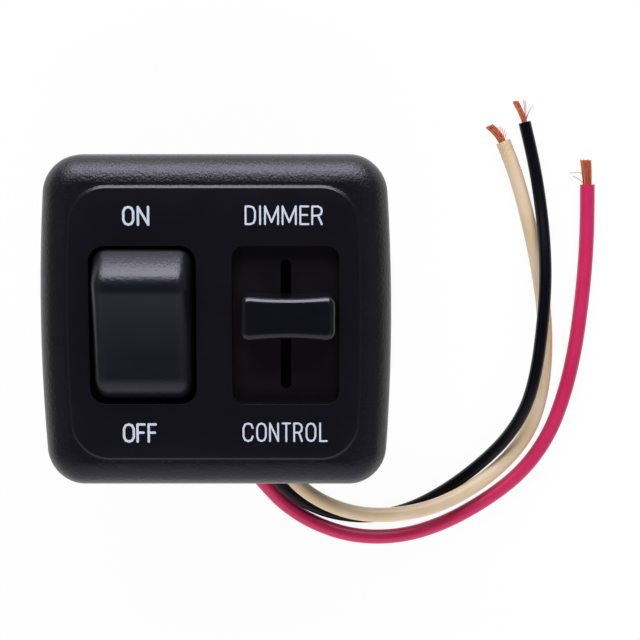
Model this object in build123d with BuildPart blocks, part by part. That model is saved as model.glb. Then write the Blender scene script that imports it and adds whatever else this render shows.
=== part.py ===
from build123d import *
import math
import os

os.makedirs("parts", exist_ok=True)

# A 12 volt switch plate: a rocker switch and a slide dimmer behind one moulded bezel, with three free leads.
# Millimetres. It lies on its back, with +Z out of its front, +Y at its ON end and z = 0 at the back.

# Bezel
bezel_width = 57.2
bezel_height = 54.0
bezel_depth = 8.5
bezel_wall = 2.0
bezel_corner = 6.0
bezel_draft = 2.0
side_radius = 310.0
rim_radius = 4.8
cavity_radius = 3.5
panel_wall = 2.0
panel_rise = 0.32
panel_inset = 4.95
panel_corner = 6.0
panel_bevel = 0.42
window_margin = 3.7
window_bar = 5.7
window_length = 25.4
window_y = -0.2
rocker_window_corner = 2.6
slider_window_corner = 2.0
window_edge = 0.15
window_lip = 0.8
window_relief = 0.8

# Mounting frame that the bezel snaps onto
frame_thickness = 2.0
frame_gap = 0.25
screw_hole = 3.6
screw_offset = 3.1
snap_length = 14.0
snap_thickness = 1.0
snap_rise = 0.5
snap_proud = 0.5
snap_play = 0.15

# Rear housing
housing_depth = 22.0
housing_wall = 1.8
housing_floor = 1.8
housing_corner = 3.0
housing_edge = 1.0
housing_side_room = 0.8
housing_end_room = 1.8
hook_pitch = 18.0
hook_width = 5.0
hook_thickness = 1.2
hook_barb = 0.7
hook_play = 0.1

# Rocker, its pivot and its sprung plunger
rocker_side_gap = 0.6
rocker_bulge = 1.1
rocker_heel_lean = 68.054
rocker_skirt = 1.0
rocker_crest = 39.0
rocker_dish = 63.0
rocker_nose = 4.0
rocker_cheek_draft = 1.5
rocker_edge = 2.1
rocker_wall = 1.5
rocker_pocket = 8.0
rocker_pocket_draft = 11.0
rocker_throw = 10.0
pivot_rise = 1.5
pivot_pin = 3.0
pivot_length = 0.95
pivot_play = 0.05
lug_radius = 2.6
lug_thickness = 1.6
bore_diameter = 3.8
bore_wall = 0.9
bore_top = 3.5
bore_foot = 4.0
plunger_play = 0.2
plunger_head = 2.5
plunger_tip = 1.0
plunger_reach = 8.2
spring_wire = 0.45
spring_turns = 5

# Switch case
case_side_play = 0.15
case_end_play = 0.1
case_wall = 1.0
case_floor = 1.2
case_corner = 1.0
case_drop = 14.5
case_collar = 0.8
case_flange = 1.2
case_flange_side = 1.1
case_flange_end = 1.5
case_play = 0.1
catch_width = 6.0
catch_proud = 0.6
catch_height = 1.6

# See-saw contact arm, contacts and terminals
arm_throw = 6.5
arm_width = 3.6
arm_thickness = 0.6
arm_reach = 7.6
arm_lift = 0.45
arm_cheek = 0.5
arm_cheek_length = 2.4
arm_cheek_depth = 1.3
arm_play = 0.1
arm_clear = 0.1
contact_place = 6.3
contact_diameter = 2.6
contact_height = 0.7
contact_edge = 0.3
contact_clear = 0.1
terminal_thickness = 0.8
terminal_width = 4.0
terminal_tail = 4.5
terminal_play = 0.05
fulcrum_radius = 0.4
load_tail_place = 9.4
rest_post_place = 6.4
rest_post_length = 1.2
rest_post_clear = 0.1

# Slot plate behind the dimmer's window
plate_drop = 0.1
plate_thickness = 1.5
plate_wall = 1.2
plate_lap_side = 0.75
plate_lap_end = 1.5
slot_width = 1.68
slot_end_play = 0.45

# Slide potentiometer
pot_width = 9.0
pot_end_room = 2.05
pot_height = 6.9
pot_sheet = 0.5
pot_gap = 0.2
track_thickness = 0.8
lever_thickness = 1.2
lever_length = 5.0
lever_slot_play = 0.4
carriage_length = 6.4
carriage_play = 0.3
carriage_lift = 1.3
carriage_headroom = 0.7
slide_rest = 1.5
wiper_width = 2.4
wiper_sheet = 0.25
wiper_clear = 0.05
pin_width = 0.8
pin_length = 2.6
pin_inset = 0.5
pin_pitch = 4.0

# Slider knob
knob_side_gap = 0.85
knob_end_gap = 1.2
knob_length = 8.0
knob_waist = 0.55
knob_height = 6.0
knob_gap = 0.5
knob_corner = 1.9
knob_corner_share = 8
knob_draft = 2.0
knob_edge = 1.4
knob_crease = 0.5
knob_dish = 48.0
knob_dish_depth = 0.5
knob_shift = 0.4
lever_in_knob = 4.0
lever_knob_play = 0.05

# Circuit board and its parts
board_gap = 1.0
board_edge_gap = 0.5
board_lap = 0.85
board_thickness = 1.6
board_drop = 2.5
standoff_diameter = 3.8
board_hole = 2.2
board_screw_pilot = 1.7
board_screw_shank = 1.6
board_screw_head = 3.6
board_screw_head_height = 1.4
board_screw_bite = 3.4
screw_one_inset = (2.3, 2.0)
screw_two_inset = (2.2, 3.0)
transistor_place = (4.25, 3.8)
transistor_width = 10.0
transistor_length = 9.0
transistor_height = 4.4
transistor_tab_length = 5.6
transistor_tab_thickness = 1.3
transistor_tab_hole = 3.6
transistor_leg_width = 0.8
transistor_leg_thickness = 0.5
transistor_leg_length = 3.4
transistor_leg_pitch = 2.54
chip_place = (-7.2, 5.2)
chip_width = 4.9
chip_length = 3.9
chip_height = 1.5
chip_leg_span = 6.0
chip_leg_pitch = 1.27
chip_leg_width = 0.4
chip_leg_thickness = 0.25
capacitor_place = (-5.75, 3.2)
capacitor_diameter = 6.3
capacitor_length = 9.0
capacitor_groove = 0.3
capacitor_edge = 0.4
resistor_places = ((-4.95, -7.2), (-4.95, -9.8))
resistor_diameter = 2.0
resistor_length = 6.0
diode_place = (-5.55, 8.0)
diode_diameter = 2.4
diode_length = 4.6
leg_diameter = 0.6
leg_reach = 0.9

# Leads and their grommet
red_diameter = 2.6
black_diameter = 2.2
white_diameter = 2.6
lead_pitch = 3.0
lead_x = 5.5
lead_z = 6.0
lead_stub = 4.1
grommet_width = 11.0
grommet_height = 5.0
grommet_flange = 1.2
grommet_lap = 1.0
grommet_play = 0.05
tail_stub = 3.6
tail_swing = 2.9
tail_reach = 11.9
tail_rise = 4.9
link_diameter = 1.6
link_inset = 1.2
link_stub = 2.4
link_swing = 1.8
link_rise = 4.6
red_strand = 1.7
black_strand = 1.2
white_strand = 1.5

# Levels and places worked out from the sizes above
window_width = (bezel_width - window_bar) / 2 - panel_inset - window_margin
window_pitch = window_width + window_bar
knob_width = window_width - 2 * knob_side_gap
slide_travel = window_length - knob_length - 2 * knob_end_gap
slot_length = slide_travel + lever_length + 2 * slot_end_play
pot_length = slide_travel + carriage_length + 2 * pot_end_room
board_length = pot_length + 2 * board_lap
wall_z = housing_depth
frame_z = wall_z + frame_thickness
panel_z = wall_z + bezel_depth
shoulder_z = panel_z - panel_rise
cavity_z = panel_z - panel_wall
pivot_z = wall_z + pivot_rise
switch_x = -window_pitch / 2
slider_x = window_pitch / 2
frame_inset = bezel_wall + frame_gap
rocker_width = window_width - 2 * rocker_side_gap
rocker_swing = window_length / 2 + rocker_bulge
rocker_heel = rocker_swing * (1 - math.sin(math.radians(rocker_heel_lean)))
rocker_half = rocker_swing - rocker_heel
case_inner_width = rocker_width + 2 * case_side_play
case_inner_length = 2 * (rocker_swing + case_end_play)
case_width = case_inner_width + 2 * case_wall
case_length = case_inner_length + 2 * case_wall
case_bottom = pivot_z - case_drop
case_top = frame_z + case_flange + case_collar
case_floor_z = case_bottom + case_floor
housing_width = window_pitch + case_width + 2 * (housing_side_room + housing_wall)
housing_height = case_length + 2 * (housing_end_room + housing_wall)
screw_pitch = housing_height + 2 * screw_offset
hook_x = housing_width / 2
plate_z = cavity_z - plate_drop
board_front = wall_z - board_drop
board_back = board_front - board_thickness
board_left = switch_x + case_width / 2 + board_gap
board_right = housing_width / 2 - housing_wall - board_edge_gap
board_width = board_right - board_left
board_x = (board_left + board_right) / 2
board_far = window_y + board_length / 2
board_near = window_y - board_length / 2
board_screws = (
    (board_left + screw_one_inset[0], board_far - screw_one_inset[1]),
    (board_right - screw_two_inset[0], board_near + screw_two_inset[1]),
)
pot_top = board_front + pot_height
track_top = board_front + track_thickness
pin_y = pot_length / 2 - pin_inset
pin_places = (
    (slider_x, window_y + pin_y),
    (slider_x - pin_pitch / 2, window_y - pin_y),
    (slider_x + pin_pitch / 2, window_y - pin_y),
)
slide_y = window_y + slide_rest
carriage_bottom = track_top + carriage_lift
carriage_top = pot_top - pot_sheet - carriage_headroom
knob_bottom = plate_z + knob_gap
lever_top = knob_bottom + lever_in_knob
fulcrum_z = pivot_z - plunger_reach - arm_clear - arm_thickness - arm_lift
grommet_face = -housing_height / 2 - grommet_flange
grommet_back = -housing_height / 2 + housing_wall + grommet_flange

# Planes of the pieces that are shown tilted at rest, at OFF
rocker_rest = Plane((switch_x, window_y, pivot_z)).rotated((rocker_throw, 0, 0))
rocker_side = Plane(rocker_rest.origin, x_dir=rocker_rest.y_dir, z_dir=rocker_rest.x_dir)
rocker_front = Plane(rocker_rest.origin, x_dir=rocker_rest.x_dir, z_dir=-rocker_rest.y_dir)
rocker_up = Axis(rocker_rest.origin, rocker_rest.z_dir)
arm_rest = Plane((switch_x, window_y, fulcrum_z)).rotated((-arm_throw, 0, 0))
switch_side = Plane((switch_x, window_y, 0), x_dir=(0, 1, 0), z_dir=(1, 0, 0))
slider_side = Plane((slider_x, slide_y, 0), x_dir=(0, 1, 0), z_dir=(1, 0, 0))


# The bezel's outline with its bowed sides, drawn in by an inset
def bezel_outline(inset, corner):
    half_x = bezel_width / 2 - inset
    half_y = bezel_height / 2 - inset
    bow = side_radius - math.sqrt(side_radius**2 - half_y**2)
    with BuildSketch() as outline:
        with BuildLine():
            right = ThreePointArc((half_x - bow, -half_y), (half_x, 0), (half_x - bow, half_y))
            left = ThreePointArc((bow - half_x, half_y), (-half_x, 0), (bow - half_x, -half_y))
            Line(right @ 1, left @ 0)
            Line(left @ 1, right @ 0)
        make_face()
        fillet(outline.vertices(), corner)
    return outline.sketch


# A round lead along straight runs joined by the largest tangent arcs that the runs allow
def lead(label, diameter, points):
    stops = [Vector(*point) for point in points]
    radii = []
    for before, corner, after in zip(stops, stops[1:], stops[2:]):
        turn = (corner - before).get_angle(after - corner)
        shorter = min((corner - before).length, (after - corner).length)
        radii.append(0.45 * shorter / math.tan(math.radians(turn) / 2))
    with BuildPart() as tube:
        with BuildLine() as route:
            FilletPolyline(*stops, radius=radii)
        with BuildSketch(Plane(route.line @ 0, z_dir=route.line % 0)):
            Circle(diameter / 2)
        sweep()
    run = sum(edge.length for edge in route.edges())
    fill = tube.part.volume / (math.pi * diameter**2 / 4 * run)
    print(label, "radii", [round(radius, 1) for radius in radii])
    print(label, "length", round(run, 1), "volume over section times length", round(fill, 4))
    tube.part.label = label
    export_step(tube.part, f"parts/{label}.step")
    return route.line @ 1, route.line % 1


# Bezel: a drafted, bowed shell with a rolled rim and a raised panel
with BuildPart() as bezel_core:
    with BuildSketch(Plane.XY.offset(wall_z)):
        add(bezel_outline(bezel_wall, bezel_corner - bezel_wall))
    extrude(amount=cavity_z - wall_z)
    fillet(bezel_core.faces().sort_by(Axis.Z)[-1].edges(), cavity_radius)

with BuildPart() as bezel:
    with BuildSketch(Plane.XY.offset(wall_z)):
        add(bezel_outline(0, bezel_corner))
    extrude(amount=shoulder_z - wall_z, taper=bezel_draft)
    fillet(bezel.faces().sort_by(Axis.Z)[-1].edges(), rim_radius)
    with BuildSketch(Plane.XY.offset(shoulder_z)):
        add(bezel_outline(panel_inset, panel_corner))
    extrude(amount=panel_rise, taper=math.degrees(math.atan2(panel_bevel, panel_rise)))
    add(bezel_core.part, mode=Mode.SUBTRACT)
    with BuildSketch(Plane.XY.offset(cavity_z)):
        with Locations((switch_x, window_y)):
            RectangleRounded(window_width, window_length, rocker_window_corner)
        with Locations((slider_x, window_y)):
            RectangleRounded(window_width, window_length, slider_window_corner)
    extrude(amount=panel_wall, mode=Mode.SUBTRACT)
    with BuildSketch(Plane.XY.offset(cavity_z)):
        with Locations((switch_x, window_y)):
            Rectangle(window_width, window_length + 2 * window_relief)
    extrude(amount=panel_wall - window_lip, mode=Mode.SUBTRACT)
    panel_face = bezel.faces().sort_by(Axis.Z)[-1]
    fillet(panel_face.inner_wires().edges(), window_edge)
    with BuildSketch(Plane.XY.offset(wall_z + snap_rise - snap_play)):
        with GridLocations(bezel_width - 2 * frame_inset, 1, 2, 1):
            Rectangle(2 * (snap_proud + snap_play), snap_length + 2 * snap_play)
    extrude(amount=snap_thickness + 2 * snap_play, mode=Mode.SUBTRACT)

bezel.part.label = "bezel"
export_step(bezel.part, "parts/bezel.step")

# Mounting frame: the plate that the wall screws hold
with BuildPart() as mounting_frame:
    with BuildSketch(Plane.XY.offset(wall_z)):
        add(bezel_outline(frame_inset, bezel_corner - bezel_wall))
        with Locations((switch_x, window_y)):
            Rectangle(case_width + 2 * case_play, case_length + 2 * case_play, mode=Mode.SUBTRACT)
        with Locations((slider_x, window_y)):
            Rectangle(pot_width + 2 * pot_gap, pot_length + 2 * pot_gap, mode=Mode.SUBTRACT)
        with GridLocations(2 * hook_x - hook_thickness - hook_barb, hook_pitch, 2, 2):
            Rectangle(hook_thickness + hook_barb + 2 * hook_play, hook_width + 2 * hook_play,
                      mode=Mode.SUBTRACT)
    extrude(amount=frame_thickness)
    with BuildSketch(Plane.XY.offset(wall_z + snap_rise)):
        with GridLocations(bezel_width - 2 * frame_inset, 1, 2, 1):
            Rectangle(2 * snap_proud, snap_length)
    extrude(amount=snap_thickness)
    with BuildSketch(Plane.XY.offset(board_front)):
        with Locations(*board_screws):
            Circle(standoff_diameter / 2)
            Circle(board_screw_pilot / 2, mode=Mode.SUBTRACT)
    extrude(amount=board_drop)
    with Locations((0, screw_pitch / 2, frame_z), (0, -screw_pitch / 2, frame_z)):
        Hole(screw_hole / 2)

mounting_frame.part.label = "mounting_frame"
export_step(mounting_frame.part, "parts/mounting_frame.step")

# Rear housing: a box that hooks through the frame
with BuildPart() as rear_housing:
    with BuildSketch():
        RectangleRounded(housing_width, housing_height, housing_corner)
    extrude(amount=housing_depth)
    fillet(rear_housing.faces().sort_by(Axis.Z)[0].edges(), housing_edge)
    with BuildSketch(Plane.XY.offset(housing_floor)):
        RectangleRounded(housing_width - 2 * housing_wall, housing_height - 2 * housing_wall,
                         housing_corner - housing_wall)
    extrude(amount=housing_depth - housing_floor, mode=Mode.SUBTRACT)
    with BuildSketch(Plane.XZ.offset(housing_height / 2 - housing_wall)):
        with Locations((lead_x, lead_z)):
            SlotOverall(grommet_width, grommet_height)
    extrude(amount=housing_wall, mode=Mode.SUBTRACT)
    barb_z = frame_z + hook_play
    with BuildSketch(Plane.XZ.offset(hook_pitch / 2 - hook_width / 2),
                     Plane.XZ.offset(-hook_pitch / 2 - hook_width / 2)):
        with BuildLine():
            Polyline(
                (hook_x - hook_thickness, wall_z),
                (hook_x, wall_z),
                (hook_x, barb_z),
                (hook_x + hook_barb, barb_z),
                (hook_x, barb_z + 2 * hook_barb),
                (hook_x - hook_thickness, barb_z + 2 * hook_barb),
                close=True,
            )
        make_face()
        mirror(about=Plane.YZ)
    extrude(amount=hook_width)

rear_housing.part.label = "rear_housing"
export_step(rear_housing.part, "parts/rear_housing.step")

# Grommet: an oblong rubber bush with a flange on each side of the housing wall
with BuildPart() as wire_grommet:
    with BuildSketch(Plane.XZ.offset(housing_height / 2 - housing_wall)):
        with Locations((lead_x, lead_z)):
            SlotOverall(grommet_width - 2 * grommet_play, grommet_height - 2 * grommet_play)
    extrude(amount=housing_wall)
    with BuildSketch(Plane.XZ.offset(housing_height / 2),
                     Plane.XZ.offset(housing_height / 2 - housing_wall - grommet_flange)):
        with Locations((lead_x, lead_z)):
            SlotOverall(grommet_width + 2 * grommet_lap, grommet_height + 2 * grommet_lap)
    extrude(amount=grommet_flange)

wire_grommet.part.label = "wire_grommet"
export_step(wire_grommet.part, "parts/wire_grommet.step")

# Rocker: a dished paddle with rolled noses and ends that are round about its pins, hollow below
crest_y = rocker_swing * math.sin(math.radians(rocker_crest))
crest_z = rocker_swing * math.cos(math.radians(rocker_crest))
heel_z = math.sqrt(rocker_swing**2 - rocker_half**2)
rocker_crown = crest_z - rocker_dish + math.sqrt(rocker_dish**2 - crest_y**2)
cheek_lean = (rocker_crown + rocker_nose) * math.tan(math.radians(rocker_cheek_draft))
with BuildPart() as rocker:
    with BuildSketch(rocker_side) as paddle:
        with BuildLine():
            dish = ThreePointArc((-crest_y, crest_z), (0, rocker_crown), (crest_y, crest_z))
            far = RadiusArc(dish @ 1, (rocker_half, heel_z), rocker_swing)
            near = RadiusArc((-rocker_half, heel_z), dish @ 0, rocker_swing)
            Polyline(far @ 1, (rocker_half, -rocker_skirt), (-rocker_half, -rocker_skirt), near @ 0)
        make_face()
        fillet(paddle.vertices().sort_by(Axis.Y)[-2:], rocker_nose)
    extrude(amount=rocker_width / 2, both=True)
    with BuildSketch(rocker_front):
        with BuildLine():
            Polyline(
                (-rocker_width / 2, -rocker_skirt),
                (rocker_width / 2, -rocker_skirt),
                (rocker_width / 2, 0),
                (rocker_width / 2 - cheek_lean, rocker_crown + rocker_nose),
                (cheek_lean - rocker_width / 2, rocker_crown + rocker_nose),
                (-rocker_width / 2, 0),
                close=True,
            )
        make_face()
    extrude(amount=rocker_swing, both=True, mode=Mode.INTERSECT)
    cheeks = rocker.faces().filter_by(lambda face: abs(face.normal_at().X) > 0.9)
    rims = [edge for cheek in cheeks for edge in cheek.edges().filter_by(Axis.Y, reverse=True)]
    fillet([edge for edge in rims if edge.center().Z > pivot_z + rocker_skirt
            and abs(edge.tangent_at(0.5).X) < 0.5], rocker_edge)
    with BuildSketch(rocker_rest.offset(-rocker_skirt)):
        Rectangle(rocker_width - 2 * rocker_wall, 2 * (rocker_half - rocker_wall))
    extrude(amount=rocker_pocket, taper=rocker_pocket_draft, mode=Mode.SUBTRACT)
    with BuildSketch(rocker_rest.offset(-bore_foot)):
        Circle(bore_diameter / 2 + bore_wall)
    extrude(amount=bore_foot + rocker_pocket)
    with BuildSketch(rocker_rest.offset(-bore_foot)):
        Circle(bore_diameter / 2)
    extrude(amount=bore_foot + bore_top, mode=Mode.SUBTRACT)
    for side in (-1, 1):
        with BuildSketch(rocker_side.offset(side * (rocker_width / 2 - lug_thickness))):
            Circle(lug_radius)
        extrude(amount=side * lug_thickness)
        with BuildSketch(rocker_side.offset(side * rocker_width / 2)):
            Circle(pivot_pin / 2)
        extrude(amount=side * pivot_length)

rocker.part.label = "rocker"
export_step(rocker.part, "parts/rocker.step")

# Plunger: a round-nosed pin that slides in the rocker's bore
plunger_radius = bore_diameter / 2 - plunger_play
plunger_top = bore_foot - plunger_head - plunger_play
with BuildPart() as rocker_plunger:
    with BuildSketch(rocker_side):
        with BuildLine():
            nose = RadiusArc((0, -plunger_reach), (plunger_tip, plunger_tip - plunger_reach), -plunger_tip)
            Polyline(
                nose @ 1,
                (plunger_tip, -plunger_top - plunger_head),
                (plunger_radius, -plunger_top - plunger_head),
                (plunger_radius, -plunger_top),
                (0, -plunger_top),
                nose @ 0,
            )
        make_face()
    revolve(axis=rocker_up)

rocker_plunger.part.label = "rocker_plunger"
export_step(rocker_plunger.part, "parts/rocker_plunger.step")

# Spring: an open coil between the plunger's head and the top of the bore
spring_foot = spring_wire / 2 - plunger_top
spring_height = bore_top - spring_wire / 2 - spring_foot
with BuildPart() as rocker_spring:
    with BuildLine() as coil:
        Helix(
            spring_height / spring_turns,
            spring_height,
            plunger_radius - spring_wire / 2,
            center=rocker_rest.offset(spring_foot).origin,
            direction=rocker_rest.z_dir,
        )
    with BuildSketch(Plane(coil.line @ 0, z_dir=coil.line % 0)):
        Circle(spring_wire / 2)
    sweep(is_frenet=True)

rocker_spring.part.label = "rocker_spring"
export_step(rocker_spring.part, "parts/rocker_spring.step")

# Contact arm: a copper see-saw with two folded cheeks that straddle the fulcrum
with BuildPart() as contact_arm:
    with BuildSketch(arm_rest.offset(arm_lift)):
        RectangleRounded(arm_width, 2 * arm_reach, arm_width / 4)
    extrude(amount=arm_thickness)
    with BuildSketch(arm_rest.offset(arm_lift - arm_cheek_depth)):
        with GridLocations(arm_width - arm_cheek, 1, 2, 1):
            Rectangle(arm_cheek, arm_cheek_length)
    extrude(amount=arm_cheek_depth)

contact_arm.part.label = "contact_arm"
export_step(contact_arm.part, "parts/contact_arm.step")

# Moving contact: a silver button under the arm's far end
with BuildPart() as moving_contact:
    with BuildSketch(arm_rest.offset(arm_lift - contact_height)):
        with Locations((0, -contact_place)):
            Circle(contact_diameter / 2)
    extrude(amount=contact_height)
    fillet(moving_contact.edges().group_by(Axis(arm_rest.origin, arm_rest.z_dir))[0], contact_edge)

moving_contact.part.label = "moving_contact"
export_step(moving_contact.part, "parts/moving_contact.step")

# Height of the fixed contact, just under the moving one at ON
throw_sine = math.sin(math.radians(arm_throw))
throw_cosine = math.cos(math.radians(arm_throw))
contact_drop = (contact_place + contact_diameter / 2) * throw_sine
contact_drop += (contact_height - arm_lift) * throw_cosine
contact_z = fulcrum_z - contact_drop - contact_clear
pad_z = contact_z - contact_height

with BuildPart() as fixed_contact:
    with BuildSketch(Plane.XY.offset(pad_z)):
        with Locations((switch_x, window_y - contact_place)):
            Circle(contact_diameter / 2)
    extrude(amount=contact_height)
    fillet(fixed_contact.edges().group_by(Axis.Z)[-1], contact_edge)

fixed_contact.part.label = "fixed_contact"
export_step(fixed_contact.part, "parts/fixed_contact.step")

# Load terminal: a strip folded from the contact's pad down through the case floor
terminal_z = case_bottom - terminal_tail
pad_inner = contact_diameter / 2 - contact_place
with BuildPart() as load_terminal:
    with BuildSketch(switch_side):
        with BuildLine():
            Polyline(
                (pad_inner, pad_z),
                (-load_tail_place - terminal_thickness, pad_z),
                (-load_tail_place - terminal_thickness, terminal_z),
                (-load_tail_place, terminal_z),
                (-load_tail_place, pad_z - terminal_thickness),
                (pad_inner, pad_z - terminal_thickness),
                close=True,
            )
        make_face()
    extrude(amount=terminal_width / 2, both=True)

load_terminal.part.label = "load_terminal"
export_step(load_terminal.part, "parts/load_terminal.step")

# Common terminal: a blade whose rounded top is the arm's fulcrum
fulcrum_width = arm_width - 2 * (arm_cheek + arm_play)
shoulder = case_floor_z + terminal_thickness
with BuildPart() as common_terminal:
    with BuildSketch(switch_side):
        with BuildLine():
            top = RadiusArc((-fulcrum_radius, fulcrum_z), (fulcrum_radius, fulcrum_z), fulcrum_radius)
            Polyline(top @ 1, (fulcrum_radius, shoulder), (-fulcrum_radius, shoulder), top @ 0)
        make_face()
    extrude(amount=fulcrum_width / 2, both=True)
    with BuildSketch(switch_side):
        with Locations((0, (terminal_z + shoulder) / 2)):
            Rectangle(terminal_thickness, shoulder - terminal_z)
    extrude(amount=terminal_width / 2, both=True)

common_terminal.part.label = "common_terminal"
export_step(common_terminal.part, "parts/common_terminal.step")

# Switch case: an open box hung in the frame by its flange, with catches under the frame
rest_post_far = rest_post_place + rest_post_length / 2
rest_post_z = fulcrum_z - rest_post_far * throw_sine + arm_lift * throw_cosine - rest_post_clear
with BuildPart() as switch_case:
    with BuildSketch(Plane.XY.offset(case_bottom)):
        with Locations((switch_x, window_y)):
            RectangleRounded(case_width, case_length, case_corner)
    extrude(amount=case_top - case_bottom)
    with BuildSketch(Plane.XY.offset(frame_z)):
        with Locations((switch_x, window_y)):
            RectangleRounded(case_width + 2 * case_flange_side, case_length + 2 * case_flange_end, case_corner)
    extrude(amount=case_flange)
    with BuildSketch(Plane.XY.offset(case_floor_z)):
        with Locations((switch_x, window_y)):
            Rectangle(case_inner_width, case_inner_length)
    extrude(amount=case_top - case_floor_z, mode=Mode.SUBTRACT)
    with BuildSketch(Plane.YZ.offset(switch_x)):
        with Locations((window_y, pivot_z)):
            Circle(pivot_pin / 2 + pivot_play)
    extrude(amount=case_width, both=True, mode=Mode.SUBTRACT)
    with BuildSketch(switch_side):
        with BuildLine():
            Polyline(
                (case_length / 2, wall_z - case_play),
                (case_length / 2 + catch_proud, wall_z - case_play),
                (case_length / 2, wall_z - case_play - catch_height),
                close=True,
            )
        make_face()
        mirror(about=Plane.YZ)
    extrude(amount=catch_width / 2, both=True)
    with BuildSketch(Plane.XY.offset(case_floor_z)):
        with Locations((switch_x, window_y + rest_post_place)):
            Rectangle(terminal_width, rest_post_length)
    extrude(amount=rest_post_z - case_floor_z)
    with BuildSketch(Plane.XY.offset(case_bottom)):
        with Locations((switch_x, window_y),
                       (switch_x, window_y - load_tail_place - terminal_thickness / 2)):
            Rectangle(terminal_width + 2 * terminal_play, terminal_thickness + 2 * terminal_play)
    extrude(amount=case_floor, mode=Mode.SUBTRACT)

switch_case.part.label = "switch_case"
export_step(switch_case.part, "parts/switch_case.step")

# Slot plate: a cap over the potentiometer, seated on the frame, with the lever's slot
plate_width = window_width + 2 * plate_lap_side
plate_length = window_length + 2 * plate_lap_end
with BuildPart() as slot_plate:
    with BuildSketch(Plane.XY.offset(frame_z)):
        with Locations((slider_x, window_y)):
            Rectangle(plate_width, plate_length)
    extrude(amount=plate_z - frame_z)
    with BuildSketch(Plane.XY.offset(frame_z)):
        with Locations((slider_x, window_y)):
            Rectangle(plate_width - 2 * plate_wall, plate_length - 2 * plate_wall)
    extrude(amount=plate_z - frame_z - plate_thickness, mode=Mode.SUBTRACT)
    with BuildSketch(Plane.XY.offset(frame_z)):
        with Locations((slider_x, window_y)):
            SlotOverall(slot_length, slot_width, rotation=90)
    extrude(amount=plate_z - frame_z, mode=Mode.SUBTRACT)

slot_plate.part.label = "slot_plate"
export_step(slot_plate.part, "parts/slot_plate.step")

# Potentiometer: a track board under a folded sheet shell
with BuildPart() as pot_track:
    with BuildSketch(Plane.XY.offset(board_front)):
        with Locations((slider_x, window_y)):
            Rectangle(pot_width, pot_length)
    extrude(amount=track_thickness)

pot_track.part.label = "pot_track"
export_step(pot_track.part, "parts/pot_track.step")

with BuildPart() as pot_shell:
    with BuildSketch(Plane.XY.offset(track_top)):
        with Locations((slider_x, window_y)):
            Rectangle(pot_width, pot_length)
    extrude(amount=pot_top - track_top)
    fillet(pot_shell.edges().filter_by(Axis.Y).group_by(Axis.Z)[-1], pot_sheet)
    with BuildSketch(Plane.XY.offset(track_top)):
        with Locations((slider_x, window_y)):
            Rectangle(pot_width - 2 * pot_sheet, pot_length - 2 * pot_sheet)
    extrude(amount=pot_top - track_top - pot_sheet, mode=Mode.SUBTRACT)
    with BuildSketch(Plane.XY.offset(track_top)):
        with Locations((slider_x, window_y)):
            Rectangle(lever_thickness + 2 * lever_slot_play, slide_travel + lever_length + 2 * lever_slot_play)
    extrude(amount=pot_top - track_top, mode=Mode.SUBTRACT)

pot_shell.part.label = "pot_shell"
export_step(pot_shell.part, "parts/pot_shell.step")

with BuildPart() as pot_pins:
    with BuildSketch(Plane.XY.offset(board_front - pin_length)):
        with Locations(*pin_places):
            Rectangle(pin_width, pin_width)
    extrude(amount=pin_length)

pot_pins.part.label = "pot_pins"
export_step(pot_pins.part, "parts/pot_pins.step")

# Carriage: the block that runs in the shell, with the lever that comes through the slot
with BuildPart() as slider_carriage:
    with BuildSketch(Plane.XY.offset(carriage_bottom)):
        with Locations((slider_x, slide_y)):
            Rectangle(pot_width - 2 * (pot_sheet + carriage_play), carriage_length)
    extrude(amount=carriage_top - carriage_bottom)
    with BuildSketch(Plane.XY.offset(carriage_top)):
        with Locations((slider_x, slide_y)):
            Rectangle(lever_thickness, lever_length)
    extrude(amount=lever_top - carriage_top)

slider_carriage.part.label = "slider_carriage"
export_step(slider_carriage.part, "parts/slider_carriage.step")

# Wiper: a bent spring finger under the carriage
wiper_low = track_top + wiper_clear
with BuildPart() as slider_wiper:
    with BuildSketch(slider_side):
        with BuildLine() as finger:
            Polyline(
                (-carriage_length / 2, carriage_bottom - wiper_sheet / 2),
                (0, carriage_bottom - wiper_sheet / 2),
                (carriage_length / 3, wiper_low + wiper_sheet / 2),
                (carriage_length / 2, wiper_low + wiper_sheet),
            )
            offset(amount=wiper_sheet / 2)
        make_face()
    extrude(amount=wiper_width / 2, both=True)

slider_wiper.part.label = "slider_wiper"
export_step(slider_wiper.part, "parts/slider_wiper.step")

# Knob: a waisted, drafted finger piece, dished on top, pressed over the lever
knob_x = slider_x + knob_shift
with BuildPart() as slider_knob:
    with BuildSketch(Plane((knob_x, slide_y, knob_bottom))) as knob_plan:
        with BuildLine():
            far = ThreePointArc((knob_width / 2, knob_length / 2), (0, knob_length / 2 - knob_waist),
                                (-knob_width / 2, knob_length / 2))
            near = ThreePointArc((-knob_width / 2, -knob_length / 2), (0, knob_waist - knob_length / 2),
                                 (knob_width / 2, -knob_length / 2))
            Line(far @ 1, near @ 0)
            Line(near @ 1, far @ 0)
        make_face()
        fillet(knob_plan.vertices(), min(knob_corner, knob_width / knob_corner_share))
    extrude(amount=knob_height, taper=knob_draft)
    fillet(slider_knob.faces().sort_by(Axis.Z)[-1].edges(), knob_edge)
    with BuildSketch(Plane.XZ.offset(-slide_y)):
        with Locations((knob_x, knob_bottom + knob_height - knob_dish_depth + knob_dish)):
            Circle(knob_dish)
    extrude(amount=knob_length, both=True, mode=Mode.SUBTRACT)
    round_faces = slider_knob.faces().filter_by(GeomType.CYLINDER)
    dished_face = round_faces.sort_by(lambda face: abs(face.radius - knob_dish))[0]
    fillet(dished_face.edges(), knob_crease)
    with BuildSketch(Plane.XY.offset(knob_bottom)):
        with Locations((slider_x, slide_y)):
            Rectangle(lever_thickness + 2 * lever_knob_play, lever_length + 2 * lever_knob_play)
    extrude(amount=lever_in_knob + lever_knob_play, mode=Mode.SUBTRACT)

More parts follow.
